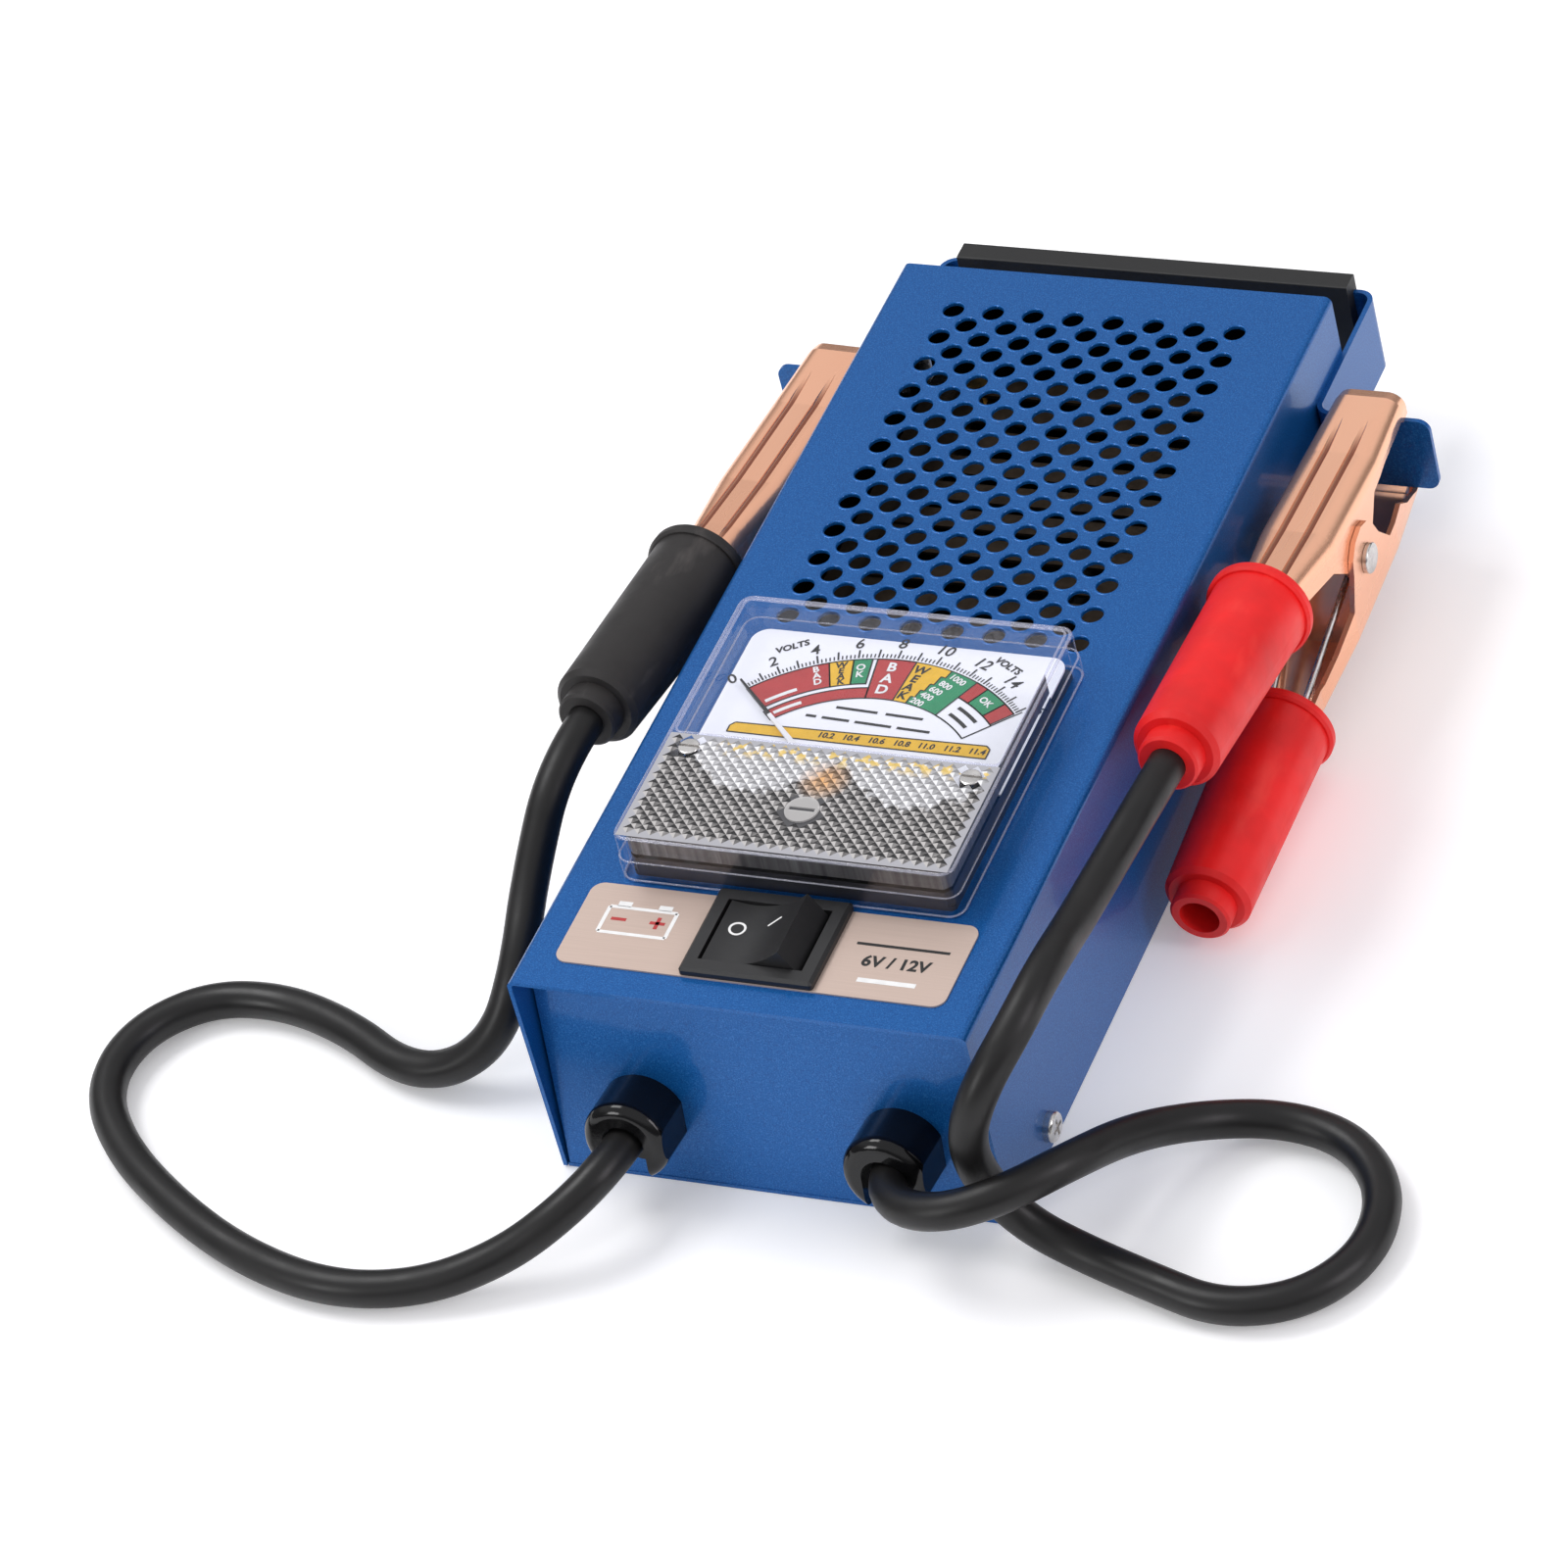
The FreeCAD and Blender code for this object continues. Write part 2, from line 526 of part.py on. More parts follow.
def zero_adjuster():
    top = CASE_H + METER_SKIRT_H + METER_TOP_H
    knob = Part.makeCylinder(ADJUSTER_R, METER_WALL + 0.5, V(0, ADJUSTER_Y, top - METER_WALL - 0.05))
    flange = Part.makeCylinder(ADJUSTER_R + 1.2, 0.8, V(0, ADJUSTER_Y, top - METER_WALL - 0.85))
    finger = Part.makeCylinder(0.6, 3.0, V(0, ADJUSTER_Y + 2.4, top - METER_WALL - 3.85))
    slot = box(-3.0, 3.0, ADJUSTER_Y - 0.5, ADJUSTER_Y + 0.5, top - 0.5, top + 2)
    return knob.multiFuse([flange, finger]).removeSplitter().cut(slot)


def meter_screws():
    top = CASE_H + METER_SKIRT_H + METER_TOP_H
    screws = []
    for side in (-1, 1):
        seat = V(side * METER_SCREW_X, METER_SCREW_Y, top - 1.0)
        head = pan_head(seat, Z, 2.5, 1.1)
        slot = box(seat.x - 3, seat.x + 3, seat.y - 0.35, seat.y + 0.35, top - 0.5, top + 1)
        screws.append(head.fuse(rod(1.2, seat, seat - Z * 8.0)).removeSplitter().cut(slot))
    return Part.makeCompound(screws)


def meter_studs():
    """Four fixing studs with nuts under the cover, and two terminal studs with nuts."""
    pieces = []
    for x, y in meter_stud_places():
        stud = rod(1.5, V(x, y, CASE_H + 1.2), V(x, y, CASE_H - 8))
        nut = Part.makeCylinder(3.0, 2.2, V(x, y, CASE_H - SHEET - 2.2))
        pieces.append(stud.fuse(nut).removeSplitter())
    low = CASE_H - BARREL_DEPTH
    for x in (-12, 12):
        stud = rod(2.0, V(x, METER_Y + 16, low + 3), V(x, METER_Y + 16, low - 11))
        nut = Part.makeCylinder(4.0, 3.0, V(x, METER_Y + 16, low - 3.0))
        pieces.append(stud.fuse(nut).removeSplitter())
    return Part.makeCompound(pieces)


# ---------------------------------------------------------------- load element
LOAD_Z, LOAD_Y0, LOAD_Y1 = 36.0, 2.0, 100.0
LOAD_LEGS, LOAD_HALF_W = 11, 36.0
RIBBON_W, RIBBON_T = 6.0, 0.8


def standoff_places():
    return [(sx * 40.0, y) for sx in (-1, 1) for y in (LOAD_Y0 + 4, LOAD_Y1 - 4)]


def load_ribbon():
    """Flat nickel-chrome strip that winds from one side to the other."""
    pitch = (LOAD_Y1 - LOAD_Y0 - RIBBON_W) / (LOAD_LEGS - 1)
    bars = []
    for i in range(LOAD_LEGS):
        y = LOAD_Y0 + i * pitch
        bars.append(box(-LOAD_HALF_W, LOAD_HALF_W, y, y + RIBBON_W, LOAD_Z, LOAD_Z + RIBBON_T))
        if i < LOAD_LEGS - 1:
            side = 1 if i % 2 == 0 else -1
            x0, x1 = sorted((side * LOAD_HALF_W, side * (LOAD_HALF_W - RIBBON_W)))
            bars.append(box(x0, x1, y, y + pitch + RIBBON_W, LOAD_Z, LOAD_Z + RIBBON_T))
    ribbon = bars[0].multiFuse(bars[1:]).removeSplitter()
    for x, y in load_terminal_places():
        ribbon = ribbon.cut(Part.makeCylinder(2.0, 6, V(x, y, LOAD_Z - 3)))
    return ribbon


def load_terminal_places():
    return [(-LOAD_HALF_W + 5, LOAD_Y0 + RIBBON_W / 2), (-LOAD_HALF_W + 5, LOAD_Y1 - RIBBON_W / 2)]


def load_insulators():
    """Two fibre bars under the ribbon's ends."""
    bars = []
    for side in (-1, 1):
        x0, x1 = sorted((side * 30.0, side * 44.0))
        bar = box(x0, x1, LOAD_Y0 - 2, LOAD_Y1 + 2, LOAD_Z - 3, LOAD_Z)
        for x, y in standoff_places() + load_terminal_places():
            bar = bar.cut(Part.makeCylinder(1.5 if abs(x) > 39 else 2.0, 6, V(x, y, LOAD_Z - 4)))
        bars.append(bar)
    return Part.makeCompound(bars)


def load_standoffs():
    """Threaded pillars that carry the insulators, each with its end screws."""
    pillars = []
    for x, y in standoff_places():
        pillar = Part.makeCylinder(3.0, LOAD_Z - 3 - SHEET, V(x, y, SHEET))
        stud = Part.makeCylinder(1.5, LOAD_Z + 2, V(x, y, 0.2))
        nut = Part.makeCylinder(2.8, 1.8, V(x, y, LOAD_Z))
        pillars.append(pillar.multiFuse([stud, nut]).removeSplitter())
    return Part.makeCompound(pillars)


def load_terminals():
    bolts = []
    for x, y in load_terminal_places():
        top = LOAD_Z + RIBBON_T
        bolt = Part.makeCylinder(2.0, RIBBON_T + 9, V(x, y, top - RIBBON_T - 9))
        head = Part.makeCylinder(3.6, 2.4, V(x, y, top))
        nut = Part.makeCylinder(3.6, 3.0, V(x, y, LOAD_Z - 6.0))
        bolts.append(bolt.multiFuse([head, nut]).removeSplitter())
    return Part.makeCompound(bolts)


# ---------------------------------------------------------------- bushes and leads
def bush_frame(side):
    """Where a bush's axis meets the front panel, and the panel's outward normal."""
    lean = math.atan2(PANEL_LEAN, CASE_H - SHEET)
    return V(side * BUSH_X, panel_y(BUSH_Z), BUSH_Z), V(0, -math.cos(lean), math.sin(lean))


def lead_points(side):
    start, axis = bush_frame(side)
    end, onward = collar_frame(side)
    route = [V(*p) for p in (LEFT_ROUTE if side < 0 else RIGHT_ROUTE)]
    first = [start + axis * 0.5, start + axis * LEAD_EXIT[side]]
    return first + route + [end + onward * 15, end - onward * 6]


def cord_bush(side):
    """Glossy strain relief: round head, flat sides, open below for the lead."""
    start, axis = bush_frame(side)
    head = Part.makeCylinder(BUSH_R, BUSH_L, V(0, 0, 0), Z)
    front = [e for e in head.Edges if abs(e.CenterOfMass.z - BUSH_L) < 1e-6]
    head = head.makeFillet(2.8, front)
    head = head.common(box(-BUSH_HALF_W, BUSH_HALF_W, -20, 20, -1, BUSH_L + 1))
    half = LEAD_D / 2 + 0.7
    slot = box(-half, half, -20, 0, BUSH_BACK, BUSH_L + 5)
    arch = Part.makeCylinder(half, BUSH_L + 5, V(0, 0, BUSH_BACK), Z)
    head = head.cut(slot).cut(arch)
    stem = Part.makeCylinder(BUSH_R - 2, 7, V(0, 0, -7))
    collar = Part.makeCylinder(BUSH_R - 1, 4, V(0, 0, -4 - SHEET))
    bush = head.multiFuse([stem, collar]).removeSplitter()
    bush = bush.cut(Part.makeCylinder(LEAD_D / 2, 20, V(0, 0, -10)))
    bush.rotate(V(0, 0, 0), X, 90 - math.degrees(math.atan2(axis.z, -axis.y)))
    bush.translate(start)
    return bush


def lead_radii(points):
    """Arc at each inner point: 0.45 of the shorter run over the tangent of half the turn."""
    radii = []
    for a, b, c in zip(points, points[1:], points[2:]):
        turn = (b - a).getAngle(c - b)
        radii.append(0.45 * min((b - a).Length, (c - b).Length) / math.tan(turn / 2))
    return radii


def free_lead(side):
    points = lead_points(side)
    radii = lead_radii(points)
    path, lead = tube(points, radii, LEAD_D)
    expected = math.pi * (LEAD_D / 2) ** 2 * path.Length
    print("lead", side, "length", round(path.Length, 1), "radii", [round(r, 1) for r in radii],
          "volume ratio", round(lead.Volume / expected, 5), "valid", lead.isValid(),
          "lowest", round(lead.BoundBox.ZMin, 3))
    return lead


def inner_wire(points, diameter, radius):
    return tube(points, [radius] * (len(points) - 2), diameter)[1]


def inner_lead(side):
    start, axis = bush_frame(side)
    begin = start - axis * 11
    if side < 0:
        x, y = load_terminal_places()[0]
        points = [begin, begin - axis * 22, V(-40, -60, 11), V(-40, -18, 11), V(x, y - 3, LOAD_Z - 12)]
    else:
        points = [begin, begin - axis * 8, V(14, SWITCH_Y + 10, 16), V(9, SWITCH_Y + 1, 22)]
    return inner_wire(points, 6.0, 4.0)


def load_wire():
    x, y = load_terminal_places()[1]
    points = [V(-9, SWITCH_Y, 22), V(-9, SWITCH_Y + 12, 13), V(4, -70, 13), V(4, 60, 9),
              V(-10, 96, 14), V(x, y, LOAD_Z - 12)]
    return inner_wire(points, 5.0, 8.0)


def meter_wires():
    wires = []
    for side in (-1, 1):
        x = side * 12
        points = [V(x, METER_Y + 16, 14), V(x, METER_Y + 12, 5), V(x + side * 6, METER_Y - 30, 5),
                  V(x + side * 8, METER_Y - 48, 8)]
        wires.append(inner_wire(points, 1.8, 3.0))
    return Part.makeCompound(wires)


# ---------------------------------------------------------------- clamps
def placed(shape, side):
    """Move a clamp piece from its own frame (rivet on X) to its ear."""
    name = "left" if side < 0 else "right"
    bite = V(CLAMP_X[name], BITE, CLAMP_Z)
    shape.translate(bite - Y * PIVOT_TO_BITE)
    shape.rotate(bite, Z, CLAMP_YAW[name])
    return shape


def placed_point(point, side):
    return placed(Part.Vertex(point), side).Point


def boot_axis(handle, slip, sag=0.0):
    """Ends of a boot pulled back along its handle, and sagging a little at its collar."""
    (y0, z0), (y1, z1) = handle
    start, end = V(0, y0, z0), V(0, y1, z1)
    shift = (end - start).normalize() * slip
    return start + shift - Z * (sag * 0.5), end + shift - Z * sag


def upper_boot_axis(side):
    name = "left" if side < 0 else "right"
    return boot_axis(UPPER_HANDLE, BOOT_SLIP[name], BOOT_SAG[name])


def collar_frame(side):
    """Outer end of the upper boot's collar and the lead's direction there."""
    near, far = [placed_point(p, side) for p in upper_boot_axis(side)]
    return far, (far - near).normalize()


def handle_z(handle, y, offset):
    (y0, z0), (y1, z1) = handle
    return z0 + (z1 - z0) * (y - y0) / (y1 - y0) + offset


def jaw_section(y, half_w, back, corner, sign, inset):
    """Upside-down U across a jaw, closed far outside its open side."""
    w, r, back = half_w - inset, corner - inset, back - sign * inset
    far, low, bevel = back - sign * 40, back - sign * r, r * (1 - math.sqrt(0.5))
    left = Part.Arc(V(-w, y, low), V(-w + bevel, y, back - sign * bevel), V(-w + r, y, back))
    right = Part.Arc(V(w - r, y, back), V(w - bevel, y, back - sign * bevel), V(w, y, low))
    ring = [V(w, y, low), V(w, y, far), V(-w, y, far), V(-w, y, low)]
    edges = [left.toShape(), Part.LineSegment(V(-w + r, y, back), V(w - r, y, back)).toShape(),
             right.toShape()]
    return Part.Wire(edges + Part.makePolygon(ring).Edges)


def jaw(stations, edge_line, sign):
    """Stamped channel with a rounded back: lofted, hollowed, and cut to its side outline."""
    def body(inset):
        rows = [(y, w, back, corner) for y, w, back, corner in stations]
        if inset:
            rows[0] = (rows[0][0] - inset,) + rows[0][1:]
            rows[-1] = (rows[-1][0] - 1,) + rows[-1][1:]
        return Part.makeLoft([jaw_section(*row, sign, inset) for row in rows], True, True)
    ends = [(edge_line[-1][0], sign * 60), (edge_line[0][0], sign * 60)]
    return body(0).cut(body(CLAMP_T)).common(side_prism(edge_line + ends))


# (y, half width, back, corner radius) from the tip to the end of the handle
UPPER_STATIONS = [(42.0, 7.2, 12.3, 3.6), (41.0, 8.1, 13.8, 3.8), (38.0, 8.3, 14.6, 4.0),
                  (18.0, UPPER_HALF_W, 14.8, 4.2), (-12.0, UPPER_HALF_W, 16.9, 4.2),
                  (-30.0, HANDLE_HALF_W, handle_z(UPPER_HANDLE, -30.0, HANDLE_HALF_H), 3.6),
                  (-84.0, HANDLE_HALF_W, handle_z(UPPER_HANDLE, -84.0, HANDLE_HALF_H), 3.6)]
UPPER_EDGE = [(43.0, 8.05), (37.5, 8.05), (36.5, 9.2), (22.0, 9.3), (13.2, 8.1), (8.0, 0.6),
              (5.5, -3.6), (0.0, -5.0), (-4.5, -3.6), (-8.0, 2.0), (-15.0, 8.0),
              (-28.0, handle_z(UPPER_HANDLE, -28.0, -4.0)), (-85.0, handle_z(UPPER_HANDLE, -85.0, -4.0))]
LOWER_STATIONS = [(42.0, 7.2, -13.4, 3.0), (41.0, 8.1, -14.8, 3.2), (38.0, 8.4, -15.5, 3.6),
                  (18.0, LOWER_HALF_W, -15.2, 4.2), (-12.0, LOWER_HALF_W, -17.0, 4.2),
                  (-30.0, HANDLE_HALF_W, handle_z(LOWER_HANDLE, -30.0, -HANDLE_HALF_H), 3.6),
                  (-84.0, HANDLE_HALF_W, handle_z(LOWER_HANDLE, -84.0, -HANDLE_HALF_H), 3.6)]
LOWER_EDGE = [(43.0, -12.05), (37.0, -12.05), (34.0, -10.6), (29.0, -8.6), (24.0, -4.7), (14.0, -5.5),
              (8.5, 0.5), (6.2, 5.0), (3.5, 8.0), (0.0, 9.2), (-4.5, 8.2), (-7.6, 5.2), (-8.6, 1.5),
              (-12.0, -6.2), (-21.0, -11.2), (-28.0, handle_z(LOWER_HANDLE, -28.0, 4.0)),
              (-85.0, handle_z(LOWER_HANDLE, -85.0, 4.0))]


def side_prism(points):
    return prism([V(-20, y, z) for y, z in points], X * 40)


def rivet_bore(radius):
    return Part.makeCylinder(radius, 60, V(-30, 0, 0), X)


def back_groove(x):
    """Long shallow groove pressed into the upper jaw's back."""
    backs = [(y, back) for y, _, back, _ in UPPER_STATIONS[3:6]]
    last = handle_z(UPPER_HANDLE, -37.0, HANDLE_HALF_H + 0.6)
    line = [(30.0, backs[0][1] + 0.5)] + backs + [(-37.0, last)]
    points = [V(x, y, z + GROOVE_R - GROOVE_DEPTH) for y, z in line]
    rods = [rod(GROOVE_R, a, b) for a, b in zip(points, points[1:])]
    balls = [Part.makeSphere(GROOVE_R, point) for point in points]
    return rods[0].multiFuse(rods[1:] + balls)


def upper_jaw():
    blank = jaw(UPPER_STATIONS, UPPER_EDGE, 1).cut(rivet_bore(RIVET_R))
    return blank.cut([back_groove(-GROOVE_X), back_groove(GROOVE_X)])


def lower_jaw():
    return jaw(LOWER_STATIONS, LOWER_EDGE, -1).cut(rivet_bore(RIVET_R + RUNNING))


def clamp_rivet():
    half = LOWER_HALF_W + 0.1
    parts = [Part.makeCylinder(RIVET_R, 2 * half, V(-half, 0, 0), X)]
    parts += [pan_head(X * (s * half), X * s, RIVET_CAP_R, 1.3) for s in (-1, 1)]
    return parts[0].multiFuse(parts[1:]).removeSplitter()


def clamp_spring():
    """Double torsion spring round the rivet, its long legs lying in the lower handle."""
    pitch, reach, height = 2.4, -20.0, 10.6
    coils = [Part.makeTorus(SPRING_R, SPRING_WIRE_R, V(pitch * (i - 2.5), 0, 0), X) for i in range(6)]
    bridge = rod(SPRING_WIRE_R - 0.1, V(-2.5 * pitch, 0, -SPRING_R), V(2.5 * pitch, 0, -SPRING_R))
    floor = handle_z(LOWER_HANDLE, SPRING_LEG_END, CLAMP_T + SPRING_WIRE_R + 0.1 - HANDLE_HALF_H)
    loop = [V(side * 0.5 * pitch, reach, height) for side in (-1, 1)]
    parts = coils[1:] + [bridge, rod(SPRING_WIRE_R, *loop)]
    for side, corner in zip((-1, 1), loop):
        end = V(side * 3.0, SPRING_LEG_END, floor)
        parts.append(rod(SPRING_WIRE_R, V(side * 2.5 * pitch, 0, -SPRING_R), end))
        parts.append(rod(SPRING_WIRE_R, V(corner.x, 0, SPRING_R), corner))
    return coils[0].multiFuse(parts).removeSplitter()


def boot(start, end, stations, edge_line, sign, bore):
    """Rubber boot: flange, tapered body and collar, hollow around the handle."""
    length = (end - start).Length
    shoulder = length - COLLAR_L

    def turned_profile(points):
        wire = Part.makePolygon([V(r, 0, z) for r, z in points + [points[0]]])
        return Part.Face(wire).revolve(V(0, 0, 0), Z, 360)
    outer = turned_profile([(0, 0), (FLANGE_R - 0.8, 0), (FLANGE_R, 0.8), (FLANGE_R, FLANGE_T - 0.6),
                            (FLANGE_R - 0.6, FLANGE_T), (BODY_R0, FLANGE_T), (BODY_R1, shoulder - 1.2),
                            (BODY_R1 - 1.2, shoulder), (COLLAR_R, shoulder), (COLLAR_R, length - 0.6),
                            (COLLAR_R - 0.6, length), (0, length)])
    inner = turned_profile([(0, FLANGE_T), (BODY_R0 - BOOT_WALL, FLANGE_T),
                            (BODY_R1 - BOOT_WALL, shoulder - 3), (0, shoulder - 3)])
    shape = outer.cut(inner).cut(Part.makeCylinder(bore, length, V(0, 0, 10)))
    along = (end - start).normalize()
    shape.rotate(V(0, 0, 0), X, math.degrees(math.atan2(-along.y, along.z)))
    shape.translate(start)
    handle = Part.makeLoft([jaw_section(*row, sign, 0) for row in stations], True, True)
    ends = [(edge_line[-1][0], sign * 60), (edge_line[0][0], sign * 60)]
    return shape.cut(handle.common(side_prism(edge_line + ends)))


def upper_boot(side):
    start, end = upper_boot_axis(side)
    return boot(start, end, UPPER_STATIONS, UPPER_EDGE, 1, LEAD_D / 2)


def lower_boot():
    start, end = boot_axis(LOWER_HANDLE, LOWER_SLIP)
    return boot(start, end, LOWER_STATIONS, LOWER_EDGE, -1, LEAD_D / 2 + 0.4)


def lead_crimp():
    """Ferrule that grips the lead inside the upper handle."""
    start, end = boot_axis(UPPER_HANDLE, 0)
    along = (end - start).normalize()
    return rod(2.6, end - along * 44, end - along * 9)


# ---------------------------------------------------------------- export
def build():
    nodes = {
        "top_cover": top_cover(), "base_tray": base_tray(), "case_screws": case_screws(),
        "carry_strap": carry_strap(), "strap_grip": strap_grip(), "strap_rivets": strap_rivets(),
        "label_plate": label_plate(), "switch_housing": switch_housing(),
        "switch_rocker": switch_rocker(), "switch_terminals": switch_terminals(),
        "switch_spring": switch_spring(), "meter_cover": meter_cover(),
        "meter_housing": meter_housing(), "dial_plate": dial_plate(), "meter_yoke": meter_yoke(),
        "meter_core": meter_core(), "meter_bridge": meter_bridge(), "meter_needle": meter_needle(),
        "meter_coil": meter_coil(), "needle_staff": needle_staff(), "hairspring": hairspring(),
        "zero_adjuster": zero_adjuster(), "meter_screws": meter_screws(),
        "meter_studs": meter_studs(), "load_ribbon": load_ribbon(),
        "load_insulators": load_insulators(), "load_standoffs": load_standoffs(),
        "load_terminals": load_terminals(), "load_wire": load_wire(), "meter_wires": meter_wires(),
    }
    for side, name in ((-1, "left"), (1, "right")):
        nodes["cord_bush_" + name] = cord_bush(side)
        nodes["inner_lead_" + name] = inner_lead(side)
        nodes["lead_" + name] = free_lead(side)
        clamp = {"upper_jaw": upper_jaw(), "lower_jaw": lower_jaw(), "clamp_rivet": clamp_rivet(),
                 "clamp_spring": clamp_spring(), "upper_boot": upper_boot(side),
                 "lower_boot": lower_boot(), "lead_crimp": lead_crimp()}
        for piece, shape in clamp.items():
            nodes[piece + "_" + name] = placed(shape, side)
    return nodes


def main():
    os.makedirs("parts", exist_ok=True)
    for name, shape in build().items():
        shape.exportStep("parts/" + name + ".step")
        size = shape.BoundBox
        print(name, "valid", shape.isValid(), "solids", len(shape.Solids),
              [round(v, 2) for v in (size.XMin, size.XMax, size.YMin, size.YMax, size.ZMin, size.ZMax)])


main()
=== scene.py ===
"""Looks of the battery load tester: camera, light, leads, finishes and printed details.

Lengths are in millimetres where a name or comment says so and in metres elsewhere, in the
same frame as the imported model.
"""
import math

import bmesh
import bpy
from mathutils import Matrix, Vector


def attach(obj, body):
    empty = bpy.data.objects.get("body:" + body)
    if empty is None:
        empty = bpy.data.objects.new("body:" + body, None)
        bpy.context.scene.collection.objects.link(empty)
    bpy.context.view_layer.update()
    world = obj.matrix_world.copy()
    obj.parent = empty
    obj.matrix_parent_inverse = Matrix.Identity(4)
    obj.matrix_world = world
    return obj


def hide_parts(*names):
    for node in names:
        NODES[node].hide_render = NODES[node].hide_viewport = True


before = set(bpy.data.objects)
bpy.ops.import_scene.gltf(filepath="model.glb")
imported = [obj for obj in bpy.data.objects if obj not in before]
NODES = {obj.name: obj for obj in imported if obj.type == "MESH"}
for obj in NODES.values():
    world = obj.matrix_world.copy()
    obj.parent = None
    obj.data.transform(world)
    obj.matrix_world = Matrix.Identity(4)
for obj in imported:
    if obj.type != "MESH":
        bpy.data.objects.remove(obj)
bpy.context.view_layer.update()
MM = 0.001
ROOT = "tester"
LEFT_JAW_X, RIGHT_JAW_X, EAR_Y = -0.0644, 0.0675, 0.0948        # where the clamps bite the ears
LEFT_JAW_YAW = -2.2                                             # degrees
GROOVE_X = 0.0031                                               # grooves from a jaw's middle


# ---------------------------------------------------------------- camera, light and floor
CAMERA_PLACE = (0.64827, -1.13484, 1.13649)
CAMERA_RIGHT = (0.91126, 0.35822, -0.20320)
CAMERA_BACK = (0.39916, -0.64669, 0.64997)
LENS, SENSOR = 174.83, 36.0                                     # millimetres
WORLD_STOPS = ((0.0, 0.22), (0.28, 0.30), (0.52, 1.0), (1.0, 1.0))      # height, grey level
WORLD_STRENGTH = 0.78
FLOOR_HALF, FLOOR_DROP = 4.0, 0.0002


def make_camera():
    """Long lens from the front right, held a little askew."""
    data = bpy.data.cameras.new("camera")
    data.lens = LENS
    data.sensor_width = SENSOR
    data.clip_start = 0.1
    data.clip_end = 20.0
    camera = bpy.data.objects.new("camera", data)
    right, back = Vector(CAMERA_RIGHT), Vector(CAMERA_BACK).normalized()
    right = (right - back * right.dot(back)).normalized()
    up = back.cross(right)
    turn = Matrix((right, up, back)).transposed().to_4x4()
    camera.matrix_world = Matrix.Translation(CAMERA_PLACE) @ turn
    bpy.context.scene.collection.objects.link(camera)
    bpy.context.scene.camera = camera


def area_light(name, place, target, size, power, color=(1, 1, 1)):
    """Rectangle of light turned towards a target."""
    data = bpy.data.lights.new(name, "AREA")
    data.shape = "RECTANGLE"
    data.size, data.size_y = size
    data.energy = power
    data.color = color
    light = bpy.data.objects.new(name, data)
    light.location = place
    light.rotation_euler = (Vector(target) - Vector(place)).to_track_quat("-Z", "Y").to_euler()
    bpy.context.scene.collection.objects.link(light)


def make_light():
    """White tent with a darker horizon, so that metal and gloss show soft bands."""
    bpy.context.scene.view_settings.view_transform = "Standard"
    world = bpy.data.worlds.new("studio")
    bpy.context.scene.world = world
    world.use_nodes = True
    tree = world.node_tree
    coords = tree.nodes.new("ShaderNodeTexCoord")
    split = tree.nodes.new("ShaderNodeSeparateXYZ")
    ramp = tree.nodes.new("ShaderNodeValToRGB")
    for _ in range(2):
        ramp.color_ramp.elements.new(0.5)
    for element, (place, grey) in zip(ramp.color_ramp.elements, WORLD_STOPS):
        element.position = place
        element.color = (grey, grey, grey * 1.03, 1)
    tree.links.new(coords.outputs["Generated"], split.inputs[0])
    tree.links.new(split.outputs["Z"], ramp.inputs["Fac"])
    tree.links.new(ramp.outputs["Color"], tree.nodes["Background"].inputs["Color"])
    tree.nodes["Background"].inputs["Strength"].default_value = WORLD_STRENGTH
    area_light("key", (-0.9, 0.1, 1.6), (0, 0, 0), (0.9, 0.7), 13)
    area_light("fill", (1.5, -0.2, 0.75), (0, 0, 0.03), (0.5, 0.9), 7, (1.0, 0.95, 1.0))
    area_light("front", (-0.9, -1.4, 0.7), (0, 0, 0.03), (0.5, 0.5), 6)


def make_floor():
    """White paper just under the tester."""
    mesh = bpy.data.meshes.new("floor")
    corners = [(x * FLOOR_HALF, y * FLOOR_HALF, 0) for x, y in ((-1, -1), (1, -1), (1, 1), (-1, 1))]
    mesh.from_pydata(corners, [], [(0, 1, 2, 3)])
    floor = bpy.data.objects.new("floor", mesh)
    floor.location.z = -FLOOR_DROP
    bpy.context.scene.collection.objects.link(floor)
    paper = Finish("paper", (0.93, 0.93, 0.935), 0.7)
    paper.mottle(4.0, 0.005)
    paper.set("Emission Color", (1.0, 1.0, 1.0, 1.0))
    paper.set("Emission Strength", 0.20)
    mesh.materials.append(paper.material)


